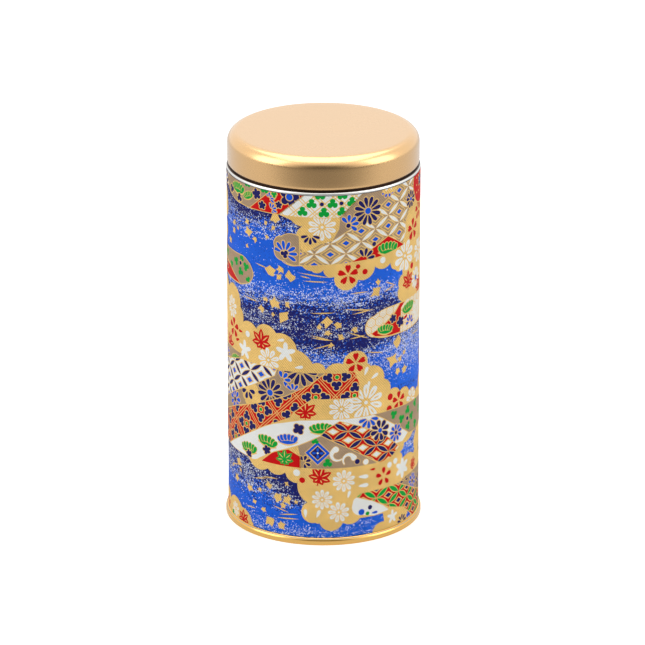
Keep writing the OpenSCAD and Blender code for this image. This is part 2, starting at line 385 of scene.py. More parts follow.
# The water: bands of blue across the sheet, from the foot up, with the share of pale spray in each.
water = {
    "royal": linear(14, 82, 204),
    "bright": linear(30, 102, 222),
    "navy": linear(26, 28, 98),
    "spray": linear(222, 228, 242),
    "wander": 18.0,                # how far the bands drift up and down
    "wisp": 6.0,                   # how far their edges are drawn out
    "slope": 0.5,                  # how steeply they run downhill near the foot
    "paleAcross": (14, 36),        # where the pale water starts and is full, to the right of the front
    "paleFrom": (62, 71),          # and the same up the sheet
    "paleTo": (77, 82),
    "bands": [(0, 0.02), (10, 0.0), (18, 0.3), (25, 0.95), (29, 1.0), (46, 1.0), (58, 0.0), (68, 0.05),
              (74, 0.35), (79, 0.95), (90, 0.95), (94, 0.7), (98, 0.25), (103, 0.0), (120, 0.0),
              (126, 0.4), (130, 1.0), (144, 1.0)],
    "spraying": [(0, 0.6), (4, 0.4), (7, 0.04), (16, 0.06), (19, 0.6), (25, 0.7), (29, 0.35), (32, 0.02),
                 (58, 0.0), (65, 0.1), (69, 0.65), (75, 0.7), (79, 0.3), (81, 0.03), (84, 0.03), (86, 0.6),
                 (89, 0.55), (90.5, 0.12), (92.5, 0.15), (95, 0.75), (99, 0.85), (103, 0.45), (106, 0.03),
                 (118, 0.02), (122, 0.5), (128, 0.55), (131, 0.15), (135, 0.0)],
}


def rampOver(tree, value, stops, tall):
    # Grey stops from a list of (height, share) up the sheet.
    ramp = add(tree, "ShaderNodeValToRGB", None, i0=value)
    elements = ramp.color_ramp.elements
    elements[0].position, elements[1].position = 0, 1
    elements[0].color = (stops[0][1],) * 3 + (1,)
    elements[1].color = (stops[-1][1],) * 3 + (1,)
    for height, share in stops[1:-1]:
        elements.new(height / tall).color = (share, share, share, 1)
    return ramp.outputs[0]


def makeWaterPaper():
    material, tree, shader = newMaterial("printedPaper", Specular_IOR_Level=0.1)
    place = sheetPlace(tree)
    drift = noise(tree, stretch(tree, place, (0.03, 0.09, 1)), 1.0, 2.0)
    streak = noise(tree, stretch(tree, place, (0.12, 0.7, 1)), 1.0, 3.0)
    across, height = add(tree, "ShaderNodeSeparateXYZ", None, i0=place).outputs[:2]
    wander = swung(tree, drift, water["wander"])
    wisp = swung(tree, streak, water["wisp"])
    # Low down, the bands run downhill to the right.
    low = ranged(tree, height, 44, 56, water["slope"], 0.0)
    foot = ranged(tree, height, 7, 16)
    aside = calc(tree, "MINIMUM", calc(tree, "SUBTRACT", across, 30 - sheetStart), 40)
    slope = calc(tree, "MULTIPLY", calc(tree, "MAXIMUM", calc(tree, "ADD", aside, 66), 0),
                 calc(tree, "MULTIPLY", low, foot))
    lifted = calc(tree, "ADD", calc(tree, "ADD", height, slope), calc(tree, "ADD", wander, wisp))
    tall = calc(tree, "DIVIDE", lifted, sheetTall)
    depth = rampOver(tree, tall, water["bands"], sheetTall)
    spraying = rampOver(tree, tall, water["spraying"], sheetTall)
    spraying = calc(tree, "MULTIPLY", spraying, ranged(tree, streak, 0.4, 0.6, 0.3, 1.5))
    # On the right, above the big cloud, the water is pale and full of spray.
    rightward = ranged(tree, across, *(side - sheetStart for side in water["paleAcross"]))
    above = ranged(tree, height, *water["paleFrom"])
    under = ranged(tree, height, *water["paleTo"], 1.0, 0.0)
    pale = calc(tree, "MULTIPLY", rightward, calc(tree, "MULTIPLY", above, under))
    spraying = calc(tree, "MAXIMUM", spraying, pale)
    # The two blues meet in dots, not in a smooth blend.
    grit = add(tree, "ShaderNodeTexVoronoi", {"feature": "F1"}, Vector=place, Scale=2.1)
    gritLevel = add(tree, "ShaderNodeSeparateColor", None, i0=grit.outputs["Color"])
    dark = ranged(tree, calc(tree, "SUBTRACT", depth, gritLevel.outputs[0]), -0.12, 0.12)
    paleness = calc(tree, "MAXIMUM", drift, rightward)
    blues = mixed(tree, paleness, water["royal"], water["bright"])
    blues = mixed(tree, dark, blues, water["navy"])
    masks = []
    for scale, size in ((2.0, 0.36), (3.1, 0.34)):
        dots = add(tree, "ShaderNodeTexVoronoi", {"feature": "F1"}, Vector=place, Scale=scale)
        chance = add(tree, "ShaderNodeSeparateColor", None, i0=dots.outputs["Color"])
        there = calc(tree, "LESS_THAN", chance.outputs[1], calc(tree, "MULTIPLY", spraying, 0.85))
        reach = calc(tree, "MULTIPLY", calc(tree, "ADD", chance.outputs[2], 0.6), size)
        spot = ranged(tree, calc(tree, "SUBTRACT", reach, dots.outputs["Distance"]), -0.03, 0.05)
        masks.append(calc(tree, "MULTIPLY", spot, there))
    spray = calc(tree, "MULTIPLY", calc(tree, "MAXIMUM", masks[0], masks[1]), 0.92)
    blues = mixed(tree, spray, blues, water["spray"])
    grain = placeGroup(tree, paperGrain, Color=blues, Mottle=0.4, Screen=0.1, Fibres=0.08)
    surfaced(tree, shader, grain, 0.02)
    return material


finishes = {
    "lid": plateMaterial("paleGoldLacquer", linear(240, 193, 131), 0.27, 0.04, 0.03, 0.02, coat=1.0),
    "base": plateMaterial("deepGoldLacquer", linear(248, 196, 112), 0.2, 0.06, 0.03, 0.04),
    "knob": plateMaterial("knobGold", linear(240, 204, 152), 0.24, 0.05, 0.03, 0.02),
    "tin": plateMaterial("brightTinplate", linear(232, 232, 228), 0.22, 0.1, 0.04, 0.08),
    # The neck has a ring of painted shade just above its bead, for the shadow in the gap under the lid's hem.
    "neck": plateMaterial("neckTinplate", linear(238, 238, 234), 0.34, 0.1, 0.04, 0.08,
                          paintedShade=(145.16, 0.62, linear(72, 54, 45))),
    "inside": plateMaterial("plainTinplate", linear(206, 206, 202), 0.3, 0.16, 0.06, 0.14),
    "compound": plateMaterial("sealingCompound", linear(196, 190, 172), 0.6, 0.1, 0.1, 0.0),
    "paper": makeWaterPaper(),
}


# Flat shapes for the print, in millimetres on the unrolled sheet: (way round, height).

def moved(points, at, turn=0.0):
    c, s = math.cos(turn), math.sin(turn)
    return [(at[0] + x * c - y * s, at[1] + x * s + y * c) for x, y in points]


def area(points):
    return sum(a[0] * b[1] - b[0] * a[1] for a, b in zip(points, points[1:] + points[:1])) / 2


def polar(at, reach, angle):
    # The point that lies so far from another, in that direction.
    return (at[0] + reach * math.cos(angle), at[1] + reach * math.sin(angle))


def swollen(points, grow):
    # The same outline, moved outwards.
    out = []
    for before, here, after in zip(points[-1:] + points[:-1], points, points[1:] + points[:1]):
        ax, ay = here[0] - before[0], here[1] - before[1]
        bx, by = after[0] - here[0], after[1] - here[1]
        la, lb = math.hypot(ax, ay) or 1, math.hypot(bx, by) or 1
        nx, ny = ay / la + by / lb, -ax / la - bx / lb
        size = math.hypot(nx, ny) or 1
        reach = grow / max(0.5, size / 2)
        out.append((here[0] + nx / size * reach, here[1] + ny / size * reach))
    return out


def outlined(corners):
    # A closed outline from (way round, height, bulge): each side bulges out by that share of its length.
    side = 1 if area([c[:2] for c in corners]) > 0 else -1
    points = []
    for a, b in zip(corners, corners[1:] + corners[:1]):
        bulge = a[2] * side if len(a) > 2 else 0
        points.append(a[:2])
        chord = math.dist(a[:2], b[:2])
        if abs(bulge) < 0.01 or chord < 0.01:
            continue
        half = 2 * math.atan(2 * abs(bulge))
        r = chord / (2 * math.sin(half))
        ux, uy = (b[0] - a[0]) / chord, (b[1] - a[1]) / chord
        steps = max(3, min(14, int(r * half * 2 / 0.8)))
        for i in range(1, steps):
            t = -half + 2 * half * i / steps
            along = chord / 2 + r * math.sin(t)
            out = r * (math.cos(t) - math.cos(half)) * math.copysign(1, bulge)
            points.append((a[0] + ux * along + uy * out, a[1] + uy * along - ux * out))
    return points if side > 0 else points[::-1]


def egg(at, length, width, turn, taper=0.3, count=12):
    # An oval petal, narrow towards the heart of its flower.
    ring = [2 * pi * i / count for i in range(count)]
    return moved([(length / 2 * math.cos(a), width / 2 * math.sin(a) * (1 - taper + taper * math.cos(a)))
                  for a in ring], at, turn)


def disc(at, r, count=14):
    return [polar(at, r, 2 * pi * i / count) for i in range(count)]


def lens(a, b, width, count=6):
    # A leaf with two sharp ends.
    length = math.dist(a, b)
    turn = math.atan2(b[1] - a[1], b[0] - a[0])
    lower = [(length * i / count, -width / 2 * math.sin(pi * i / count)) for i in range(count)]
    upper = [(length - length * i / count, width / 2 * math.sin(pi * i / count)) for i in range(count)]
    return moved(lower + upper, a, turn)


def strip(a, b, width):
    # A straight line with square ends.
    length = math.dist(a, b) or 1
    nx, ny = (a[1] - b[1]) / length * width / 2, (b[0] - a[0]) / length * width / 2
    return [(a[0] - nx, a[1] - ny), (b[0] - nx, b[1] - ny), (b[0] + nx, b[1] + ny), (a[0] + nx, a[1] + ny)]


def lobes(at, r, number, dip=0.4, power=0.7, turn=pi / 2, count=None):
    # A rounded leaf or flower in one piece, with its lobes round a middle.
    count = count or number * 8
    points = []
    for i in range(count):
        a = 2 * pi * i / count
        points.append(polar((0, 0), r * (1 - dip + dip * abs(math.cos(number * a / 2)) ** power), a))
    return moved(points, at, turn)


def flower(at, r, petals, ink, heart=None, inner=0.28, width=0.8, turn=pi / 2, sweep=None, rim=None,
           taper=0.3):
    # Separate petals round a heart, or over part of a turn as a fan.
    shapes = []
    step = 2 * pi / petals if sweep is None else math.radians(sweep) / (petals - 1)
    first = turn if sweep is None else turn - math.radians(sweep) / 2
    length = r * (1 - inner)
    broad = min(step, 1.3) * r * 0.62 * width
    for grow, used in ((0.7, rim), (0, ink)):
        for k in range(petals if used else 0):
            a = first + step * k
            middle = polar(at, r * (1 + inner) / 2, a)
            shapes.append((used, egg(middle, length + grow, broad + grow, a, taper)))
    if heart:
        if rim:
            shapes.append((rim, disc(at, r * inner * 0.85 + 0.25)))
        shapes.append((heart, disc(at, r * inner * 0.85)))
    return shapes


def doubleFlower(at, r, petals, ink, line="line", turn=0.3):
    # Petals with a slit down the middle of each, as on a printed chrysanthemum.
    shapes = flower(at, r, petals, ink, None, 0.24, 1.16, turn, taper=0.32)
    for k in range(petals):
        a = turn + 2 * pi * k / petals
        shapes.append((line, lens(polar(at, r * 0.42, a), polar(at, r * 0.84, a), r * 0.085, 3)))
    shapes.append((ink, disc(at, r * 0.11, 8)))
    return shapes


def maple(at, r, ink="red", vein="line", turn=pi / 2):
    # Seven pointed lobes with a vein in each, and a stalk.
    leaves, veins = [], []
    for k in range(-3, 4):
        a = turn + k * 0.82
        tip = polar(at, r * (1, 0.95, 0.82, 0.58)[abs(k)], a)
        end = polar(at, r * (0.82, 0.78, 0.66, 0.42)[abs(k)], a)
        leaves.append((ink, lens(at, tip, r * 0.45, 5)))
        veins.append((vein, lens(polar(at, r * 0.16, a), end, r * 0.09, 3)))
    return leaves + veins + [(ink, strip(at, polar(at, -r * 0.62, turn), r * 0.08))]


def pine(at, r, ink="green", turn=0.0, rim="line", blobs=6):
    # A low arch of rounded tufts, each laid over the one before.
    shapes = [(rim, moved(lens((-r * 0.98, -r * 0.18), (r * 0.98, -r * 0.18), r * 0.62, 8), at, turn))]
    for k in range(blobs):
        a = pi / 2 + (0.5 - k / (blobs - 1)) * 2.1
        middle = moved([(math.cos(a) * r * 0.84, math.sin(a) * r * 0.4 - r * 0.1)], at, turn)[0]
        lean = turn + pi / 2 + (a - pi / 2) * 0.5
        shapes.append((rim, egg(middle, r * 0.6 + 0.5, r * 0.42 + 0.5, lean, 0.1, 12)))
        shapes.append((ink, egg(middle, r * 0.6, r * 0.42, lean, 0.1, 12)))
    return shapes + [(ink, moved(lens((-r * 0.78, -r * 0.18), (r * 0.78, -r * 0.18), r * 0.34, 6), at, turn))]


def trefoil(at, r, ink="green", turn=pi / 2, rim=None):
    shapes = [(rim, swollen(lobes(at, r, 3, 0.55, 0.6, turn), 0.34))] if rim else []
    return shapes + [(ink, lobes(at, r, 3, 0.55, 0.6, turn))]


def cross(at, r, ink="navy", turn=0.6, number=5, rim="line", heart=None):
    shapes = [(rim, swollen(lobes(at, r, number, 0.42, 0.8, turn), 0.28))] if rim else []
    shapes.append((ink, lobes(at, r, number, 0.42, 0.8, turn)))
    return shapes + ([("line", disc(at, r * 0.42)), (heart, disc(at, r * 0.34))] if heart else [])


def star(at, r, ink="white", turn=pi / 2):
    return [(ink, lobes(at, r, 5, 0.62, 1.7, turn, 50))]


def inside(outline, point, reach):
    # True if the point is in the outline or within reach of it.
    hit = False
    for a, b in zip(outline, outline[1:] + outline[:1]):
        if (a[1] > point[1]) != (b[1] > point[1]):
            if point[0] < a[0] + (point[1] - a[1]) / (b[1] - a[1]) * (b[0] - a[0]):
                hit = not hit
        length = math.dist(a, b) or 1
        t = ((point[0] - a[0]) * (b[0] - a[0]) + (point[1] - a[1]) * (b[1] - a[1])) / length ** 2
        t = max(0, min(1, t))
        if math.hypot(point[0] - a[0] - t * (b[0] - a[0]), point[1] - a[1] - t * (b[1] - a[1])) < reach:
            return True
    return hit


def knots(outline, origin, across, up):
    # Crossing points of a slanted lattice, wherever its cells may meet the outline.
    size = across[0] * up[1] - across[1] * up[0]
    spans = []
    for x in (min(p[0] for p in outline), max(p[0] for p in outline)):
        for y in (min(p[1] for p in outline), max(p[1] for p in outline)):
            dx, dy = x - origin[0], y - origin[1]
            spans.append(((dx * up[1] - dy * up[0]) / size, (dy * across[0] - dx * across[1]) / size))
    reach = max(math.hypot(*across), math.hypot(*up))
    for i in range(math.floor(min(s[0] for s in spans)) - 1, math.ceil(max(s[0] for s in spans)) + 2):
        for j in range(math.floor(min(s[1] for s in spans)) - 1, math.ceil(max(s[1] for s in spans)) + 2):
            at = (origin[0] + i * across[0] + j * up[0], origin[1] + i * across[1] + j * up[1])
            if inside(outline, at, reach):
                yield at


def between(at, across, up, i, j):
    # A point inside a lattice cell, in shares of its two sides.
    return (at[0] + across[0] * i + up[0] * j, at[1] + across[1] * i + up[1] * j)


def rings(outline, origin, across, up, leaf, square, size=0.3, wide=0.34, squareRim="line", frames=()):
    # Seven-treasures pattern: four leaves meet at each knot, with a square in each cell.
    shapes, squares = [], []
    broad = wide * min(math.hypot(*across), math.hypot(*up))
    for at in knots(outline, origin, across, up):
        for side in (across, up):
            a = (at[0] + side[0] * 0.04, at[1] + side[1] * 0.04)
            b = (at[0] + side[0] * 0.96, at[1] + side[1] * 0.96)
            shapes.append(("line", lens(at, (at[0] + side[0], at[1] + side[1]), broad + 0.7, 5)))
            squares.append((leaf, lens(a, b, broad, 5)))
        for used, half in frames + ((squareRim, size / 2 + 0.07), (square, size / 2)):
            if used:
                squares.append((used, [between(at, across, up, 0.5 + i * half, 0.5 + j * half)
                                       for i, j in ((-1, -1), (1, -1), (1, 1), (-1, 1))]))
    return shapes + squares


def trellis(outline, origin, across, up, ink="line", wide=0.35, gap=0.0, motif=None):
    # Crossed lines, double where there is a gap, and a motif in each cell.
    shapes, motifs = [], []
    for at in knots(outline, origin, across, up):
        for side, other in ((across, up), (up, across)):
            size = math.hypot(*other)
            for k in ((-0.5, 0.5) if gap else (0,)):
                off = (other[0] / size * gap * k, other[1] / size * gap * k)
                a = (at[0] + off[0], at[1] + off[1])
                shapes.append((ink, strip(a, (a[0] + side[0], a[1] + side[1]), wide)))
        if motif:
            motifs += motif(between(at, across, up, 0.5, 0.5))
    return shapes + motifs


def tortoise(outline, origin, r, ink="line", ground="white"):
    # Nested hexagons edge to edge.
    shapes = []
    for row, shift in ((0, 0), (1, r * 0.866)):
        start = (origin[0] + shift, origin[1] + row * r * 1.5)
        for at in knots(outline, start, (r * 1.732, 0), (0, r * 3)):
            for used, size in ((ink, 1.0), (ground, 0.86), (ink, 0.68), (ground, 0.56), (ink, 0.36),
                               (ground, 0.24)):
                shapes.append((used, [polar(at, r * size, pi / 2 - pi / 3 * k) for k in range(6, 0, -1)]))
    return shapes


def flake(at, r, seed):
    # A torn scrap of gold leaf with deep bites in its edge.
    dice = random.Random(seed)
    count = dice.choice((8, 10))
    start = dice.uniform(0, 2 * pi)
    points = []
    for k in range(count):
        a = start + 2 * pi * (k + dice.uniform(-0.3, 0.3)) / count
        points.append(polar(at, r * (dice.uniform(0.8, 1.35) if k % 2 == 0 else dice.uniform(0.45, 0.85)), a))
    return points


# Printing: each patch is cut up once, so that every spot of it holds only its topmost ink.

printed = {ink: ([], []) for ink in inks}


def printPatch(outline, fill, shapes=(), level=1, rim="line", rimWide=0.32, shift=(0, 0)):
    # shift moves the patch by whole flats round the can and by millimetres up it.
    du, dz = shift[0] * flat, shift[1]
    box = [(sheetStart - du, sheet["low"] - dz), (sheetEnd - du, sheet["low"] - dz),
           (sheetEnd - du, sheet["high"] - dz), (sheetStart - du, sheet["high"] - dz)]
    outer = swollen(outline, rimWide) if rim else outline
    low = [max(box[0][k], min(p[k] for p in outer)) for k in (0, 1)]
    high = [min(box[2][k], max(p[k] for p in outer)) for k in (0, 1)]
    if low[0] >= high[0] or low[1] >= high[1]:
        return
    layers = [(None, box), (rim, outer), (fill, outline)]
    for ink, ring in shapes:
        if all(max(p[k] for p in ring) > low[k] and min(p[k] for p in ring) < high[k] for k in (0, 1)):
            layers.append((ink, ring))
    points, loops = [], []
    for ink, ring in layers:
        ring = ring if area(ring) > 0 else ring[::-1]
        loops.append(list(range(len(points), len(points) + len(ring))))
        points += [Vector(p) for p in ring]
    cuts = [k * flat for k in range(math.floor(low[0] / flat), math.ceil(high[0] / flat) + 1)]
    if low[0] < overlapFrom - du < high[0]:
        cuts.append(overlapFrom - du)
    bottom, top = min(p[1] for p in outer) - 1, max(p[1] for p in outer) + 1
    lines = []
    for x in cuts:
        lines.append((len(points), len(points) + 1))
        points += [Vector((x, bottom)), Vector((x, top))]
    spots, _, corners, _, _, owners = delaunay_2d_cdt(points, lines, loops, 1, 1e-5)
    known = {}
    for corner, owner in zip(corners, owners):
        if 0 not in owner or (2 not in owner and 1 not in owner):
            continue
        ink = layers[max(owner)][0] if 2 in owner else rim
        if not ink:
            continue
        verts, faces = printed[ink]
        face = []
        for i in corner:
            if (ink, i) not in known:
                known[ink, i] = len(verts)
                verts.append(((spots[i].x + du) * mm, (spots[i].y + dz) * mm, level * sheet["lift"] * mm))
            face.append(known[ink, i])
        faces.append(face)


# The print itself: clouds of gold with bands of flowers and lattices, over blue water.

def cherry(at, r, ink="red", ground="gold", turn=pi / 2):
    shapes = flower(at, r, 5, ink, None, 0.16, 1.06, turn, taper=0.42)
    for k in range(5):
        a = turn + 2 * pi * k / 5
        shapes.append((ground, lens(polar(at, r * 0.87, a), polar(at, r * 1.05, a), r * 0.1, 3)))
    return shapes


def fan(at, r, petals, ink, turn=pi / 2, sweep=180, rim="line", inner=0.25):
    return flower(at, r, petals, ink, None, inner, 1.05, turn, sweep, rim)


def daisy(at, r, petals, ink, heart, turn=0.2, rim="line"):
    return flower(at, r, petals, ink, heart, 0.26, 1.22, turn, None, rim, 0.36)


def petal(at, length, turn, ink="white", wide=0.55):
    return [(ink, egg(at, length, length * wide, turn, 0.35))]


def comma(at, r, turn, ink="white"):
    # A curl of water with a thick head.
    outer = [polar((0, 0), r, 0.45 * k) for k in range(9)]
    inner = [polar((0, 0.1), r * (0.3 + 0.072 * k), 0.45 * k) for k in range(8, -1, -1)]
    curl = moved(outer + inner, at, turn)
    head = polar(at, r * 0.7, turn)
    return [("line", disc(head, r * 0.42 + 0.2, 12)), ("line", swollen(curl, 0.2)),
            (ink, disc(head, r * 0.42, 12)), (ink, curl)]


def dot(at, r, edge=0.3, ink="navy", count=14):
    # A small disc with a gold edge.
    return [("line", disc(at, r + edge, count)), (ink, disc(at, r, count))]


def diamond(at, wide, tall, ink):
    left, right = (at[0] - wide, at[1]), (at[0] + wide, at[1])
    return [(ink, [left, (at[0], at[1] - tall), right, (at[0], at[1] + tall)])]


def clover(at):
    # Four navy leaves round a green dot, in one cell of the red trellis.
    shapes = []
    for dx, dz, turn in ((3.4, 0.1, 0), (0.2, 3.3, pi / 2), (-3.4, -0.1, pi), (-0.2, -3.3, -pi / 2)):
        shapes += trefoil((at[0] + dx, at[1] + dz), 2.1, "navy", turn, "line")
    return shapes + dot(at, 0.75, 0.3, "green", 10)


patches = []


def draw(corners, fill, shapes=(), level=1, rim="line"):
    patches.append((outlined(corners), fill, list(shapes), level, rim))


# Gold cloud under the shoulder.
draw([(-17, 134.6), (-12.5, 133.2, .12), (-8, 131, .15), (-10.5, 127), (-12, 121), (-9, 116.2, .15),
      (-4.5, 113.2, .25), (0, 113.8, .3), (4.2, 110.9, .5), (13.6, 108.9, .25), (20.8, 113.2, .22),
      (28.3, 113, .2), (31, 109.6, .2), (35.2, 108.6), (35.5, 106.5, .25), (33.2, 101.5, .25),
      (35, 95.5, .3), (40, 91, .25), (48, 91, .3), (56, 94, .3), (62, 100, .3), (63, 108, .3),
      (58, 114, .3), (57, 121, .3), (60, 128, .3), (56, 136, .3), (52, 143), (50, 150), (-30, 150),
      (-25, 140)], "gold",
     doubleFlower((-0.5, 131), 5.5, 10, "white") + fan((-5, 127.6), 3.8, 5, "navy", -pi / 2, 150)
     + cherry((9.5, 111.3), 4.2) + [("red", disc((13.5, 114.3), 0.95)), ("red", disc((16.4, 111.8), 1.15)),
                                    ("white", disc((24.4, 115), 1.3)), ("red", disc((42.7, 107.8), 1.3))]
     + cherry((43.5, 122.5), 4.5) + doubleFlower((37, 113.5), 6.5, 8, "white")
     + petal((32, 112.3), 2.6, 0.4) + petal((37.5, 108.5), 2.6, 1.2) + maple((39.5, 102), 5)
     + daisy((47, 101.5), 4.5, 12, "white", "blue", 0.1, None) + doubleFlower((50, 112), 5, 8, "white")
     + maple((51, 97), 4.5, turn=2.2) + star((58, 105), 3.2) + doubleFlower((27, 141.5), 5.4, 9, "white")
     + petal((32.5, 143), 3, 0.9, "red") + star((36.5, 141), 3) + [("white", disc((33, 124.6), 4.7, 24))]
     + daisy((33, 124.6), 3.9, 8, "navy", "blue", 0.2, None) + cherry((50, 128.5), 4)
     + maple((60, 123), 5, turn=1.1) + doubleFlower((52, 137), 4.6, 8, "white"), 1, None)
draw([(-66, 146), (-63, 141, .3), (-56, 138.8), (-49.6, 138.6), (-50, 146)], "white",
     rings([(-66, 138), (-49, 138), (-49, 147), (-66, 147)], (-58, 141), (4.2, 2.6), (4.2, -2.6), "navy",
           "blue", squareRim=None), 2)
draw([(-50, 146), (-49.5, 140.5, .18), (-45.5, 136.6, .06), (-38, 135), (-30, 134.6), (-18, 147)], "taupe",
     pine((-39.5, 140), 4.6) + pine((-32.6, 139), 3.2, turn=0.4) + cross((-28, 141), 2.3)
     + trefoil((-38.5, 136.8), 1.8, "navy", pi / 2, "line")
     + trefoil((-45, 138.6), 1.8, "navy", 2.2, "line")
     + trefoil((-33, 144), 1.8) + trefoil((-24, 143.7), 1.9), 2)
draw([(-31.5, 134.7), (-17.5, 134.9), (-4, 146.5), (-17.5, 146.5)], "red",
     cross((-25.2, 137.1), 1.8, "navy", 0.3, 5, "line") + cross((-17.6, 138.6), 1.5, "navy", 0.3, 5, "line")
     + cross((-13.2, 142.3), 4, "navy", 0.1, 5, "line", "blue")
     + fan((-22, 140.5), 2.7, 5, "blue", 0.8, 150) + fan((-21, 136.2), 2.6, 5, "blue", 0.4, 150)
     + trefoil((-19.6, 142.4), 1.3, "green", 0.6, "line"), 3)
draw([(-17.5, 134.9), (6.5, 134.8), (18.5, 146.5), (-4, 146.5)], "white",
     trellis([(-17.5, 134.9), (6.5, 134.8), (18.5, 146.5), (-4, 146.5)], (0.2, 133), (3.9, 3.3),
             (3.5, -3.4), "line", 0.42, 1.0)
     + trefoil((0.2, 136.7), 2.2) + trefoil((3.5, 140.3), 2.1) + trefoil((7.3, 143.6), 2.1)
     + trefoil((7.1, 137), 2) + trefoil((11, 140.6), 2.1) + trefoil((-4.5, 140.2), 2.1)
     + trefoil((-1.2, 143.7), 2.1) + trefoil((-8, 136.9), 2.1) + dot((-0.6, 140.2), 0.8)
     + dot((6.9, 140.4), 0.8), 3)
draw([(3.5, 125.5), (9, 129), (17, 133.5), (24, 138), (31, 142), (36, 146.5), (18.5, 146.5), (6.5, 134.8),
      (6, 130)],
     "taupe", fan((27.6, 144.2), 4.6, 5, "blue", -pi / 2, 110), 3)
draw([(5, 127), (25, 127), (25, 144), (5, 144)], None,
     daisy((17.6, 136.2), 5.8, 12, "navy", "blue") + fan((9.8, 131.6), 4, 5, "blue", 0.8, 170)
     + dot((9.6, 131.2), 0.9), 4, None)
draw([(24.2, 147), (24.3, 142.6, .1), (27.4, 141.6, .1), (31.4, 142.8), (35.5, 147)], "gold",
     petal((26.4, 143.6), 2.6, 0.9) + petal((28.4, 143.6), 2.4, 1.9) + maple((31.6, 145.4), 2.8, turn=0.4),
     4)
draw([(45, 147), (43.6, 139.5), (46.4, 133.6, .12), (55, 131.4, .25), (59, 139, .2), (56, 147)], "red",
     [("line", disc((47 + dx, 135 + dz), 0.42, 8)) for dx in (0.5, 3.5, 6.5, 9.5) for dz in (1, 4, 7, 10)]
     + cross((52.5, 140), 2.6, "navy", 0.2, 5, "line", "blue"), 3)
draw([(36, 130), (46, 130), (46, 140), (36, 140)], None,
     daisy((41.4, 135.4), 3.6, 9, "navy", "blue"), 4, None)
shippo = [(-19, 121, .25), (-17, 117.2, .15), (-10, 115.2), (12, 116.4), (20, 116.6), (36, 119),
          (37.5, 127.5), (41, 133), (50, 141), (54, 146.5), (36, 146.5), (24, 138), (9, 129), (3.5, 125.5),
          (-1, 124.2), (-5, 121.6), (-8, 120.6), (-9.5, 124.5), (-10.5, 127, .1), (-15, 126.4, .2)]
draw(shippo, "taupe", rings(outlined(shippo), (-3.5, 120), (6.1, 4.25), (6.1, -4.3), "white", "blue", 0.24,
                            0.18, frames=(("line", 0.335), ("taupe", 0.285))), 2)
draw([(-19.2, 121.5, .3), (-15.5, 116.6, .12), (-9.5, 115.4), (-9.2, 120.6), (-9.5, 126.9, .15),
      (-16.5, 126, .3)], "taupe",
     fan((-15.2, 119.4), 5.2, 7, "blue", 1.15, 190) + trefoil((-15.2, 119.1), 1.7, "navy", 0.8, "line"), 3)
draw([(11, 116.4), (22, 116.8), (36, 118.6), (27, 124.2), (20.5, 121)], "red",
     pine((27, 118.8), 5.2, turn=-0.1), 3)
draw([(10, 115), (26, 115), (26, 124.5), (10, 124.5)], None,
     fan((16.2, 117), 4.4, 4, "navy", 1.05, 110) + dot((20.3, 122.4), 0.9), 4, None)

# Pointed clouds at the sides, half way up.
draw([(-60.5, 101.6), (-38, 101.8), (-33.2, 103.6, .12), (-30.2, 107.8, .12), (-33.4, 112.4, .1),
      (-38, 113.6), (-60.5, 112.6, .3)], "taupe",
     [("line", [(-62.4, 101.5), (-37.5, 101.6), (-47.8, 107), (-58.2, 108.4)]),
      ("red", [(-62, 101.8), (-38.5, 101.9), (-48, 106.5), (-58, 108)])]
     + sum((trefoil(at, size, "green", turn) for at, size, turn in (
         ((-34.3, 109.8), 1.9, 0.3), ((-38, 106.8), 1.9, 1.8), ((-41.5, 110.2), 1.9, 2.9),
         ((-37, 112.7), 1.5, 1.2), ((-33, 104.8), 1.5, 5.3), ((-46, 107.5), 1.6, 2.6),
         ((-52, 110.5), 1.7, 1.0))), [])
     + dot((-38, 110.3), 0.85, 0.25) + fan((-54, 104.5), 2.8, 5, "navy"), 2)
pointed = [(16.8, 88.5, .2), (20.5, 84.6, .05), (28, 83.3), (40, 82.8), (56, 82.8, .3), (60, 88, .3),
           (54, 94.6), (40, 95.2), (27, 94.9, .06), (20.5, 92.8, .2)]
draw(pointed, "white", tortoise(outlined(pointed), (22.8, 90.4), 2.1, "gold")
     + [("line", [(18.9, 85.9), (21, 84.2), (28, 83.1), (34.3, 82.9), (34.9, 93), (37.6, 95.2),
                  (33.6, 95.3), (30, 91.9), (24.6, 88.7)]),
        ("red", [(19.3, 85.9), (21, 84.6), (28, 83.5), (34, 83.3), (34.5, 93), (37, 94.8), (34, 94.9),
                 (30.5, 91.5), (25, 88.3)])]
     + pine((25.8, 86), 4.0, turn=-0.12) + pine((40, 91.2), 4.6, turn=0.1) + cross((29.8, 89.8), 1.9)
     + cross((34.2, 87.4), 2.3) + petal((37.5, 88.2), 3.2, 0.3, "red") + fan((41, 85.2), 3, 5, "blue")
     + doubleFlower((48, 88), 4.2, 9, "white"), 2)

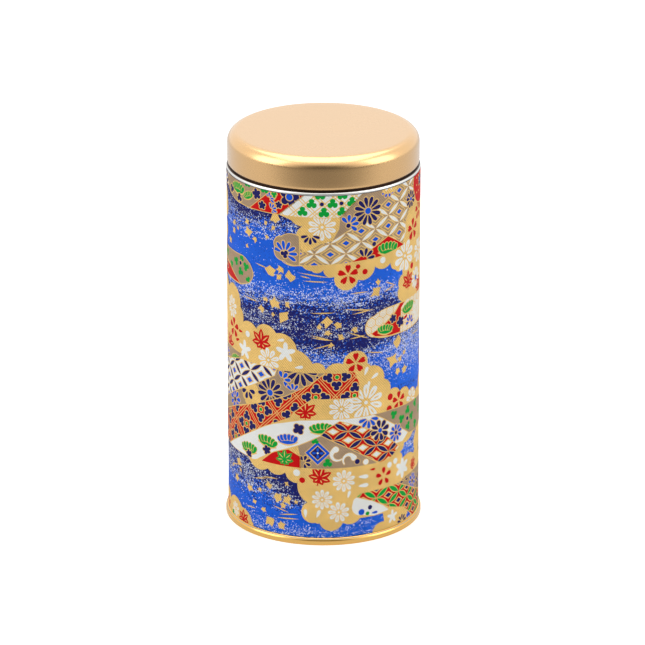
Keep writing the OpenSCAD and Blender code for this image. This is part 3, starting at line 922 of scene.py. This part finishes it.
# The big cloud, from the foot to half way up.
draw([(-70, 31.8), (-33.2, 31.6, .24), (-23, 29.4, .22), (-15.2, 29.2, .2), (-10.2, 25.4, .15),
      (-6.2, 17.6, .45), (-3, 9.2, .3), (-1.6, 9.2, .36), (7.6, 9, .2), (14.6, 10.1), (25, 10),
      (25.6, 6.4, .2), (20.2, 3.6), (19, 0), (19, -4), (62, -4), (64, 6, .3), (62, 14, .3), (66, 22, .3),
      (60, 26), (46, 28.4, .15), (36, 29.8, .2), (34.2, 33, .2), (37.2, 36, .1), (45, 38.2), (58, 39.5, .2),
      (62, 44, .3), (60, 50, .3), (52, 53.5, .3), (47.5, 54, .25), (41, 56.6, .25), (34, 58.6, .22),
      (28.6, 60.8, .2), (25.3, 66.2, .25), (19, 72.8, .1), (17.6, 74, .55), (7.6, 75, .2), (0.8, 72.9, .28),
      (-4.2, 75.3, .12), (-10.4, 80.6, .25), (-19, 86.2, .3), (-28.4, 86, .2), (-36.4, 86.6, .18),
      (-38.4, 92.2, .42), (-50, 97, .25), (-58, 99, .3), (-66, 94, .3), (-70, 86, .3), (-67, 78, .3),
      (-71, 70, .3), (-69.5, 61, .3), (-72, 52, .3), (-69.5, 43, .3)], "gold",
     maple((-26, 81), 5.8) + star((-15, 79), 4.2, turn=0.3) + star((-35.5, 75.5), 4)
     + [("white", disc((-33.5, 82.5), 1.3))] + petal((-17, 83.7), 3.2, 0.25) + cherry((-44, 82), 4.2)
     + petal((-38.2, 82.2), 3, 3.2, "red") + petal((-40.6, 78), 3.2, 3.5, "red")
     + doubleFlower((-22.5, 74.5), 5, 9, "white") + petal((-9.5, 73.5), 3.4, 0.2)
     + maple((-49, 74), 5, turn=0.2) + doubleFlower((-46, 90), 4.6, 9, "white")
     + maple((-60, 88), 5, turn=2) + cherry((-58, 78), 4) + cherry((12.7, 75), 4.2)
     + petal((17, 71), 3.6, 1.2) + petal((20.8, 68.3), 3.6, 0.5) + doubleFlower((17, 58), 7.6, 10, "white")
     + doubleFlower((7, 56.5), 5, 10, "white") + cherry((33.5, 55), 3.9)
     + [("red", disc((28.5, 57.8), 1.4)), ("red", disc((28, 53), 1.4))]
     + doubleFlower((43, 53), 4.2, 7, "white") + maple((-7, 55), 5.5) + petal((18.2, 65.2), 3, 1.5)
     + [("white", disc((-10.5, 29.7), 1.4)), ("red", disc((-8.3, 26.8), 1.2))]
     + maple((-1.5, 28), 5.5, turn=1.3) + doubleFlower((8, 26.5), 4.6, 10, "white")
     + petal((16, 27.3), 4.4, -0.1) + petal((16, 23.6), 4.4, 0) + petal((10, 20.7), 3.2, 1.3)
     + petal((20, 29.6), 2.6, 0, "red") + flower((25.3, 25.5), 3.9, 5, "red")
     + [("white", lobes((36, 26), 4.4, 6, 0.5, 1.5, pi / 2, 48)), ("white", disc((28.3, 29.5), 1.25)),
        ("white", disc((31.6, 30.2), 1.25))]
     + maple((44.5, 24.4), 3.6, turn=0.4) + doubleFlower((-0.5, 19), 4.2, 10, "white")
     + doubleFlower((6, 13.5), 4.3, 9, "white") + petal((-7, 13), 3.6, 1.6) + petal((-2, 13), 3.6, 1.2)
     + star((30, 7.3), 2.9) + fan((36, 3.4), 3, 5, "navy", pi / 2, 160) + trefoil((41, 4.8), 1.8, "blue")
     + doubleFlower((55, 32), 3.6, 8, "white") + cherry((56, 46), 3.8), 1, None)
draw([(-64, 62.5), (-45, 66.5), (-38.5, 70.8), (-38, 73), (-46, 73), (-60, 72, .3)], "taupe",
     pine((-43, 69), 3.8, turn=0.3) + fan((-52, 68.5), 2.6, 5, "blue"), 2)
shippo = [(-62, 46), (-55, 49.5), (-42, 56.3), (-30, 62.4), (-19.5, 68.6), (-18.5, 71.3), (-27, 71.6),
          (-38.5, 70.8), (-62, 63.6, .3)]
draw(shippo, "white",
     rings(outlined(shippo), (-31.8, 68), (6.3, 4.0), (5.2, -4.3), "navy", "blue", 0.28, 0.22), 3)
draw([(-66, 44.5), (-62, 41), (-42, 50), (-27, 55.7), (-15, 60.8), (-5.3, 66.4), (4.5, 71.6), (-18.5, 71.4),
      (-19.5, 68.6), (-30, 62.4), (-42, 56.3), (-55, 49.5)], "taupe",
     [("gold", lobes((-31.5, 58), 5.6, 8, 0.12, 0.6, 0.3, 48))]
     + daisy((-21.8, 61.2), 6, 12, "navy", "blue")
     + fan((-9, 72.5), 6.8, 6, "navy", -pi / 2, 160) + fan((-16.4, 67.6), 3.6, 4, "blue", 0.5, 150)
     + fan((-11.8, 63.2), 3.4, 5, "blue", 1.0, 160) + fan((-1.6, 67.8), 2.6, 4, "navy", 0.7, 140)
     + fan((-33.5, 59.6), 4.2, 4, "navy", -1.4, 150) + daisy((-43.3, 52.3), 4.6, 9, "blue", "navy"), 4)
red = [(-66, 31.7), (-50, 31.9), (-35, 40.6), (-25, 46.6), (-13, 52.6), (-12.2, 54.2), (-9, 57.2),
       (-4.5, 60.8), (13.6, 60.9), (14.2, 66), (12.4, 71.3), (1, 71.6), (-5.3, 66.4), (-15, 60.8),
       (-27, 55.7), (-42, 50), (-62, 41), (-68, 38)]
draw(red, "red", trellis(red, (4.6, 61.6), (8.2, 8.2), (6.9, -8.1), "line", 0.27, 0.9, clover), 5)
draw([(-9, 32), (22, 32), (9.8, 40.2), (-0.8, 45.8), (-2.2, 45.2), (-10, 41.2), (-9, 36)], "taupe",
     diamond((-2.2, 38.4), 5.2, 5.2, "line") + diamond((-2.2, 38.4), 4.8, 4.8, "blue")
     + diamond((-2.2, 38.4), 3.3, 3.3, "line") + diamond((-2.2, 38.4), 2.9, 2.9, "navy")
     + flower((-2.2, 38.4), 2.2, 4, "blue", "white", 0.2, 0.8)
     + trefoil((-3.2, 43.4), 1.5) + trefoil((1.6, 34.2), 1.9) + comma((5.4, 37.8), 3.0, 1.9)
     + comma((10.1, 35.2), 2.8, 0.3) + dot((13.4, 34), 1.1, 0.25) + dot((17, 33.3), 1.15, 0.25, "white")
     + fan((-7.6, 34.4), 2.9, 5, "navy", 0.4, 200), 2)
draw([(-26, 31.9), (-9, 31.9), (-9, 36.5), (-13.8, 39), (-20, 37.2)], "red",
     maple((-15.5, 34.6), 4.6, "green"), 2)
draw([(-58, 31.8), (-33.5, 31.8, .15), (-27, 33), (-20, 37.2), (-10, 41.2), (-2.2, 45.2), (4.8, 48.2),
      (7, 51.4), (15.5, 48.2), (26, 42.4), (31.5, 37.6), (36, 37.2), (40, 39.6), (33, 44.5), (24.5, 50.3),
      (20.5, 52.2), (0, 52.2), (-9, 51.6), (-13, 50.6), (-20, 48.6), (-25, 46.4), (-35, 40.4), (-50, 31.9)],
      "white",
     pine((-33, 34.8), 4.8, turn=0.05) + pine((-23.2, 40.2), 4.8, turn=-0.15)
     + pine((-1, 48.2), 4.6, turn=0.1) + pine((-14.2, 42.7), 4.5, "blue", 0.1)
     + cross((-9.7, 48), 2.4, number=4) + cross((-23.4, 37), 2) + cross((-33, 32.9), 1.8), 3)
draw([(14, 38), (38, 36), (38, 54), (14, 54)], None,
     daisy((23.4, 45.2), 4.4, 8, "navy", "blue") + daisy((31.8, 42), 3.6, 9, "blue", "navy")
     + fan((18.2, 51.4), 4.4, 5, "blue", -pi / 2, 150), 6, None)
red = [(-0.8, 45.8), (9.8, 40.2), (20.2, 33.8), (23.5, 31.8), (29.5, 32.8), (33.5, 35.8), (31.5, 37.6),
       (26, 42.4), (15.5, 48.2), (6.3, 51.3), (1.8, 48.6)]
draw(red, "red", rings(red, (3.8, 43.65), (6, -3.9), (5.8, 3.4), "navy", "white", 0.3, 0.25), 4)
draw([(20.5, 52.3), (24.5, 50.3), (33, 44.5), (41, 39.2), (48, 38.2), (56, 39, .35), (58, 46, .2),
      (53, 50.4), (45, 51.4), (30, 52.3)], "taupe",
     sum((trefoil(at, 1.9, "green", turn) for at, turn in (
         ((30.5, 50), 0.3), ((35.3, 46.8), 2.4), ((43, 45.5), 0.8), ((40, 42.2), 5.2), ((39.7, 49), 1.4),
         ((47, 41), 0.1), ((47, 49.5), 3.0), ((53, 45), 2.0))), [])
     + dot((39.5, 45.5), 0.95, 0.25), 4)

# The tongue at the foot, on the right.
draw([(11.6, 16.6, .3), (15.5, 11.3), (20.5, 10.2), (28, 10.8), (24, 14.2), (19, 17), (14.8, 18.8, .3)],
     "white", [("blue", disc((15.2, 12.5), 1.3)), ("blue", egg((21, 11.3), 2.8, 1.5, 0)),
               ("navy", disc((18.9, 13.9), 0.95)),
      ("green", disc((17.8, 11.5), 0.85))], 2)
draw([(33, 20.3), (45, 14.4), (56, 9.4, .4), (61, 19.6, .12), (52, 21.6), (40, 21.6)], "taupe",
     fan((37.5, 20), 2.8, 5, "navy") + daisy((44.5, 17.4), 3.5, 9, "blue", "navy")
     + daisy((52.5, 14.8), 3.5, 8, "navy", "blue"), 2)
red = [(13.2, 19.2), (20, 16.6), (28, 12), (37, 9.2), (44, 3.5), (50, 1), (60, 1, .3), (56, 9.4),
       (45, 14.4), (33, 20.3), (22, 20.6), (15, 20.4)]
draw(red, "red",
     rings(outlined(red), (21.75, 17.15), (5.9, -3.9), (6, 3.6), "green", "navy", 0.28, 0.26), 3)

# The cloud at the foot, on the left.
draw([(-72, -3), (-30.4, -3), (-30.6, 3.2, .2), (-31.6, 4.6, .2), (-38, 8.6, .25), (-49, 8.6, .3),
      (-58, 9.5, .3), (-68, 7, .3)], "gold",
     maple((-37, 3.8), 4.3) + doubleFlower((-43.5, 6), 3, 8, "white") + trefoil((-46, 3), 1.8)
     + cherry((-54, 5), 3.4), 1, None)

# Torn gold leaf and drifting lines on the water: (way round, height, size) and (start, end).
flakes = [(-19, 133, 2.2), (-23.5, 130.3, 1), (-20, 129, 1.1), (-33.5, 128.5, 1.2), (-33, 124.5, 2.2),
          (-29, 122.5, 1.3), (-23, 124.7, 1), (-43, 125.5, 1.5), (-43.5, 122, 1.5), (-40, 124, .9),
          (-33.5, 118.6, 1), (-47.5, 117, 1.5), (-21.3, 111.2, 2.4), (-17, 112.4, 1.6),
          (-17.6, 109.5, 1.5), (-12.8, 110.2, 2.4), (-19.5, 98.5, 2.6), (-23.6, 99.2, 1.2),
          (-14.2, 98.8, 1.4), (-25.8, 95, 1.7), (-20.3, 93.6, .9), (-15.5, 93.5, 2.5), (1.5, 92.5, 2.2),
          (5.7, 91.2, 1.7), (-1.6, 90.5, 1), (1.8, 88, 1.4), (6.8, 86.2, 1.4), (12.3, 88.6, 1.5),
          (22.3, 106.6, 1.4), (21.5, 102.8, 2.5), (2.8, 82.8, 1.2), (32.5, 80, 2.7), (30, 73, 3),
          (34, 72, 1.4), (37, 74, 1.2), (32.5, 67.5, 1.5), (37, 67, 1.9), (-40, 27, 1.8), (-39, 24, 1),
          (-46, 23.8, 1), (-42, 20, 1.8), (-32.5, 18.5, 1.8), (-27, 19.5, 1.2), (-22.4, 22.4, 1.6),
          (-18.5, 18.2, 2.2), (-14.3, 18, 2), (-14.5, 24.4, 1), (-16, 15, 1.3), (-25, 11.5, 1.4),
          (-22, 7.5, 2.3), (-17, 6.8, 1.8), (-30, 13.5, 1.2), (-10.8, 17.3, 1)]
drifts = [(-36, 97.7, -27, 97.3), (-29, 113, -22.5, 112), (-10, 112.3, 3, 110.5), (-9, 111, -5, 110.2),
          (-8, 109, 2, 108.8), (10.5, 103.6, 18, 103.5), (25.5, 106, 31, 103.3), (25, 101.8, 31.5, 103.8),
          (-5, 96, 5, 96.2), (7.5, 97.5, 20.5, 95.6), (11, 95, 20, 96), (-5, 86, 4, 84.8), (-5, 87, 3, 85),
          (9, 88, 18.5, 84.2), (10, 85, 17, 86), (-4, 81.4, 4, 83.6), (17.5, 78.6, 25, 77.2),
          (42, 79.5, 52, 78.5), (-25.5, 25.5, -18, 26), (-30, 23.6, -23, 25.3), (-21, 14.5, -13.5, 12.5),
          (-18, 11.2, -10, 12.3), (-19, 9.7, -9.5, 10.3), (-35, 10.6, -29, 10.9), (-47, 24, -40, 26)]
draw([(-75, -2), (75, -2), (75, 147), (-75, 147)], None,
     [("gold", flake(at[:2], at[2], k)) for k, at in enumerate(flakes)]
     + [("gold", lens(at[:2], at[2:], 0.55, 3)) for at in drifts], 0, None)

# The artwork at the front, and again at each side as a repeating sheet has it: ((flats round, rise), stack).
copies = [((0, 0), 4)]
copies += [((side, rise), base) for side in (60, -60) for rise, base in ((-40, 1.2), (110, 1))]
for place, base in copies:
    for outline, fill, shapes, level, rim in patches:
        printPatch(outline, fill, shapes, base * sheet["stack"] + level, rim, shift=place)
print("print cut up:", sum(len(faces) for _, faces in printed.values()), "faces")


# The paper and the inks, wrapped round the can.

wrapping = {"Radius": sheet["radius"] * mm, "Flats": sheet["facets"], "Overlap From": overlapFrom * mm,
            "Overlap Lip": sheet["lip"] * mm}


def wrapped(name, verts, faces, material):
    # The sheet's own UVs come from the flat mesh, so that every ink shares the paper's place.
    obj = newObject(name, verts, (), faces)
    mesh = obj.data
    uv = mesh.uv_layers.new(name="OFBake")
    for loop in mesh.loops:
        x, y, _ = mesh.vertices[loop.vertex_index].co
        uv.data[loop.index].uv = ((x / mm - sheetStart) / sheetWide, (y / mm - sheet["low"]) / sheetTall)
    applied(obj, wrapTree, {**wrapping, "Material": material})
    mesh = obj.data
    normals = []
    for face in mesh.polygons:
        face.use_smooth = True
        out = Vector((face.center.x, face.center.y, 0)).normalized()
        facing = face.normal.dot(out)
        for i in face.vertices:
            co = mesh.vertices[i].co
            if abs(facing) < 0.7:
                normals.append(face.normal.copy())
            else:
                normals.append(Vector((co.x, co.y, 0)).normalized() * (1 if facing > 0 else -1))
    mesh.normals_split_custom_set(normals)
    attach(obj, "can")
    return obj


def paperShell():
    # A closed thin sheet: a front and a back, joined round their edges.
    columns = sorted([sheetStart + i * flat for i in range(sheet["facets"] + 1)] + [overlapFrom])
    rows = 12
    verts, faces = [], []
    for depth in (0, -sheet["thick"]):
        for x in columns:
            verts += [(x * mm, (sheet["low"] + sheetTall * j / rows) * mm, depth * mm)
                      for j in range(rows + 1)]
    tall, side = rows + 1, len(columns) * (rows + 1)
    for i in range(len(columns) - 1):
        for j in range(rows):
            a = i * tall + j
            faces.append((a, a + tall, a + tall + 1, a + 1))
            faces.append((side + a + 1, side + a + tall + 1, side + a + tall, side + a))
        a, b = i * tall, i * tall + rows
        faces.append((side + a, side + a + tall, a + tall, a))
        faces.append((b, b + tall, side + b + tall, side + b))
    for j in range(rows):
        a, b = j, (len(columns) - 1) * tall + j
        faces.append((side + a + 1, side + a, a, a + 1))
        faces.append((b + 1, b, side + b, side + b + 1))
    return verts, faces


paper = wrapped("paperSheet", *paperShell(), finishes["paper"])
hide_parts("paper_wrap")
for ink, (verts, faces) in printed.items():
    wrapped(ink + "Print", verts, faces, inks[ink])
print("paper and inks wrapped")


# Pressed metal pieces, each a section turned about Z.

plate = 0.28
lid = {
    "shoulder": 4.3,
    "hem": 2.2,                    # height of the hem turned up inside
    "roll": 0.46,                  # how far the lower edge draws in, and over what height
    "rollTall": 1.25,
    "turnUp": 0.13,
    "body": "outer_lid",
}
lidLow, lidHigh = (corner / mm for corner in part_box("outer_lid"))


def outerLidSection():
    r, low, high = lidHigh.x, lidLow.z, lidHigh.z
    hemIn = r - 2 * plate
    s, t, roll = lid["shoulder"], lid["turnUp"], lid["roll"]
    edge = arc(r - roll, low + roll, roll, 270, 360, 9)
    edge = [(x, low + (z - low) * lid["rollTall"] / roll) for x, z in edge]
    return ([(0, high), (0, high - plate)]
            + arc(r - s, high - s, s - plate, 90, 0, 14)
            + [(r - plate, low + lid["hem"]), (hemIn, low + lid["hem"])]
            + arc(hemIn + t, low + t, t, 180, 270, 4) + edge
            + [(r, low + 3), (r, high - s - 1)]
            + arc(r - s, high - s, s, 0, 90, 20) + [(r - s - 4, high), (r - s - 14, high)])


outerLid = turned("outerLid", outerLidSection(), finishes["lid"], 256)
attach(outerLid, lid["body"])
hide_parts("outer_lid")

neckLow, neckHigh = (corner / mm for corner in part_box("neck_ring"))
neck = {
    "bead": 1.3,                   # height of the bead that shows under the lid
    "beadLow": 143.47,
    "bend": 0.3,
    "round": 1.0,
    "curl": 0.62,                  # radius of the curled mouth
    "sleeveIn": 0.28,              # the sleeve and the neck, in from the outside of the lid
    "neckIn": 0.68,
}


def neckSection():
    # Sleeve, rolled bead, neck and the curl round the mouth.
    sleeve, outer = lidHigh.x - neck["sleeveIn"], lidHigh.x - neck["neckIn"]
    beadR, beadLow, bend = neckHigh.x, neck["beadLow"], neck["bend"]
    beadTop = beadLow + neck["bead"]
    curlX, curlZ = outer - neck["curl"], neckHigh.z - neck["curl"]
    tuck, crown = bend - plate / 2, neck["round"] - plate
    return ([(sleeve - plate, neckLow.z), (sleeve, neckLow.z), (sleeve, beadLow)]
            + arc(beadR - bend, beadLow + bend, bend, 270, 360, 7)
            + arc(beadR - neck["round"], beadTop - neck["round"], neck["round"], 0, 90, 12)
            + [(outer, beadTop), (outer, curlZ)] + arc(curlX, curlZ, neck["curl"], 0, 270, 20)
            + arc(curlX, curlZ, neck["curl"] - plate, 270, 0, 14)
            + [(outer - plate, beadTop - plate)]
            + arc(beadR - plate - crown, beadTop - plate - crown, crown, 90, 0, 5)
            + arc(beadR - plate - tuck, beadLow + plate + tuck, tuck, 360, 270, 4)
            + [(sleeve - plate, beadLow + plate)])


neckRing = turned("neckRing", neckSection(), finishes["neck"], 224)
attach(neckRing, "can")
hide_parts("neck_ring")

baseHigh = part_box("base_end")[1] / mm
base = {
    "seam": 3.05,                  # height of the double seam
    "foot": 0.42,
    "round": 1.5,
    "wallIn": 0.5,                 # the countersunk wall, in from the outside of the paper
    "cover": 0.44,                 # how far the seam's top stands over that wall
    "panel": 4.2,
    "step": 0.8,
    "stepFrom": 2,                 # flat border of the panel outside its step
    "stepWide": 3.0,
}


def baseSection():
    # Panel with its step, countersunk wall, foot ring and the outside of the double seam.
    r, seam, foot = baseHigh.x, base["seam"], base["foot"]
    wall = -lowWrap.y - base["wallIn"]
    cover = wall + base["cover"]
    stepIn = wall - base["stepFrom"] - base["stepWide"]
    panel, raised = base["panel"], base["panel"] + base["step"]
    rim = base["round"]
    return ([(0, raised), (0, raised - plate), (stepIn, raised - plate),
             (stepIn + base["step"], panel - plate), (wall - plate, panel - plate)]
            + arc(wall - plate + foot, foot, foot, 180, 270, 6) + arc(r - foot, foot, foot, 270, 360, 8)
            + arc(r - rim, seam - rim, rim, 0, 84, 16)
            + [(cover, seam - 0.05), (cover, seam - 0.5), (wall + 1, seam - 0.9), (wall, seam - 0.9),
               (wall, panel), (stepIn + base["step"], panel), (stepIn, raised)])


baseEnd = turned("baseEnd", baseSection(), finishes["base"], 224)
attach(baseEnd, "can")
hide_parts("base_end")

panLow, panHigh = (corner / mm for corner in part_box("inner_lid_pan"))
pan = {"bend": 1.2, "wall": 35.18, "bore": 1.62}


def panSection():
    lip, wall, bend = plate / 2, pan["wall"], pan["bend"]
    flange = panHigh.z - plate
    return ([(pan["bore"], panLow.z)] + arc(wall - bend, panLow.z + bend, bend, 270, 360, 10)
            + [(wall, flange)] + arc(panHigh.x - lip, flange + lip, lip, 270, 450, 8)
            + [(wall - plate, flange + plate)]
            + arc(wall - bend, panLow.z + bend, bend - plate, 360, 270, 8)
            + [(30, panLow.z + plate), (28, panLow.z + plate), (pan["bore"], panLow.z + plate)])


innerPan = turned("innerPan", panSection(), finishes["tin"], 192)
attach(innerPan, "inner_lid")
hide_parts("inner_lid_pan")

knobLow, knobHigh = (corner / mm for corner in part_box("inner_lid_knob"))
knob = {
    "waist": 0.55,                 # as a share of the knob's radius
    "rim": 0.22,                   # these two as shares of its height
    "swell": 0.3,
    "cup": 3.0,                    # the cup that the rivet's head lies in, and its depth
    "cupDeep": 1.1,
    "bore": 1.62,
}


def knobSection():
    r, low, high = knobHigh.x, knobLow.z, knobHigh.z
    tall = high - low
    waist, rim, swell = r * knob["waist"], tall * knob["rim"], tall * knob["swell"]
    return ([(knob["bore"], low), (waist + 0.8, low)]
            + arc(waist + swell, low + swell, swell, 225, 135, 10)
            + arc(r - rim, high - rim, rim, -45, 90, 12)
            + [(knob["cup"] + 0.25, high), (knob["cup"], high - 0.2), (knob["cup"], high - knob["cupDeep"]),
               (knob["bore"], high - knob["cupDeep"])])


innerKnob = turned("innerKnob", knobSection(), finishes["knob"], 96)
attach(innerKnob, "inner_lid")
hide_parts("inner_lid_knob")

# The tube, seam, rivet and washer keep their CAD shape and take a finish.
for node, material in (("body_tube", finishes["inside"]), ("seam_compound", finishes["compound"]),
                       ("knob_rivet", finishes["tin"]), ("rivet_washer", finishes["tin"])):
    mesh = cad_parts[node].data
    mesh.materials.clear()
    mesh.materials.append(material)
print("metal pieces turned")


# Floor, backdrop, lamps and camera.

def glowing(name, strength, fallFrom, fallTo, low, high):
    # White to the camera and in reflections; to all other light a plain white surface that takes the shadow.
    # Reflections find it dimmer towards the front, as a sweep lit from behind is.
    material, tree, shader = newMaterial(name, Base_Color=(0.9, 0.9, 0.9, 1), Roughness=0.9,
                                         Specular_IOR_Level=0.0)
    path = tree.nodes.new("ShaderNodeLightPath")
    seen = calc(tree, "MAXIMUM", path.outputs["Is Camera Ray"], path.outputs["Is Transmission Ray"])
    place = add(tree, "ShaderNodeTexCoord").outputs["Object"]
    away = add(tree, "ShaderNodeVectorMath", {"operation": "LENGTH"}, i0=place).outputs["Value"]
    rise = ranged(tree, away, 0.4, 1.2, strength, 1.0)
    glow = add(tree, "ShaderNodeEmission", None, Color=(1, 1, 1, 1), Strength=rise)
    both = add(tree, "ShaderNodeAddShader", None, i0=shader.outputs[0], i1=glow.outputs[0])
    depth = add(tree, "ShaderNodeSeparateXYZ", None, i0=place).outputs[1]
    fall = ranged(tree, depth, fallFrom, fallTo, low, high, smooth=True)
    mirrored = add(tree, "ShaderNodeEmission", None, Color=(1, 1, 1, 1), Strength=fall)
    first = add(tree, "ShaderNodeMixShader", None, i0=seen, i1=shader.outputs[0], i2=both.outputs[0])
    mix = add(tree, "ShaderNodeMixShader", None, i0=path.outputs["Is Glossy Ray"], i1=first.outputs[0],
              i2=mirrored.outputs[0])
    tree.links.new(mix.outputs[0], tree.nodes["Material Output"].inputs["Surface"])
    return material


studio = {
    "wide": 4.0,
    "floorGlow": 0.42,
    "floorFall": (-0.5, -0.2),     # where the floor's reflection dims, in metres towards the front
    "floorMirror": (0.21, 0.76),   # and how bright it is in front of that and behind it
    "ambient": 0.5,                # the world, as plain light
    "dark": 0.11,                  # the world as a mirror finds it in front
    "darkSide": (-0.97, -0.66),    # and how far round it stays dark, as a share of straight ahead
}
wide = studio["wide"]
floor = newObject("floor", [(-wide, -wide, 0), (wide, -wide, 0), (wide, wide, 0), (-wide, wide, 0)], (),
                  [(0, 1, 2, 3)])
whiteFloor = glowing("whiteFloor", studio["floorGlow"], *studio["floorFall"], *studio["floorMirror"])
floor.data.materials.append(whiteFloor)

# The world: white to the camera; in reflections white behind and above, dim in front where the camera stands.
world = bpy.data.worlds.new("studio")
bpy.context.scene.world = world
world.use_nodes = True
worldTree = world.node_tree
background = worldTree.nodes["Background"]
background.inputs["Color"].default_value = (1, 1, 1, 1)
worldPath = worldTree.nodes.new("ShaderNodeLightPath")
toward = worldTree.nodes.new("ShaderNodeTexCoord").outputs["Generated"]
toward = add(worldTree, "ShaderNodeSeparateXYZ", None, i0=toward)
mirrored = ranged(worldTree, toward.outputs[1], *studio["darkSide"], studio["dark"], 1.0, smooth=True)
level = add(worldTree, "ShaderNodeMix", {"data_type": "FLOAT"}, i0=worldPath.outputs["Is Glossy Ray"],
            i2=studio["ambient"], i3=mirrored)
level = calc(worldTree, "MAXIMUM", level.outputs[0], worldPath.outputs["Is Camera Ray"])
worldTree.links.new(level, background.inputs["Strength"])


def softLamp(name, at, target, wide, tall, power):
    data = bpy.data.lights.new(name, "AREA")
    data.shape = "RECTANGLE"
    data.size, data.size_y = wide, tall
    data.energy = power
    lamp = bpy.data.objects.new(name, data)
    lamp.location = at
    lamp.rotation_euler = (Vector(target) - Vector(at)).to_track_quat("-Z", "Y").to_euler()
    bpy.context.scene.collection.objects.link(lamp)


middle = (0, 0, 0.08)
softLamp("leftBox", (-0.95, -0.35, 0.55), middle, 0.7, 1.0, 3.7)
softLamp("rightBox", (1.0, -0.3, 0.55), middle, 0.7, 1.0, 3.3)
softLamp("topBox", (0, 0.1, 1.15), middle, 1.25, 1.25, 7.6)

viewed = {"far": 1.9, "above": math.radians(20.4), "aim": 0.078406, "lens": 271.1, "shift": -0.0014}
cameraData = bpy.data.cameras.new("camera")
cameraData.sensor_width = 36
cameraData.lens = viewed["lens"]
cameraData.shift_x = viewed["shift"]
cameraData.clip_start, cameraData.clip_end = 0.05, 30
camera = bpy.data.objects.new("camera", cameraData)
camera.location = (0, -viewed["far"] * math.cos(viewed["above"]),
                   viewed["aim"] + viewed["far"] * math.sin(viewed["above"]))
camera.rotation_euler = (pi / 2 - viewed["above"], 0, 0)
bpy.context.scene.collection.objects.link(camera)
bpy.context.scene.camera = camera

bpy.context.scene.view_settings.view_transform = "Standard"
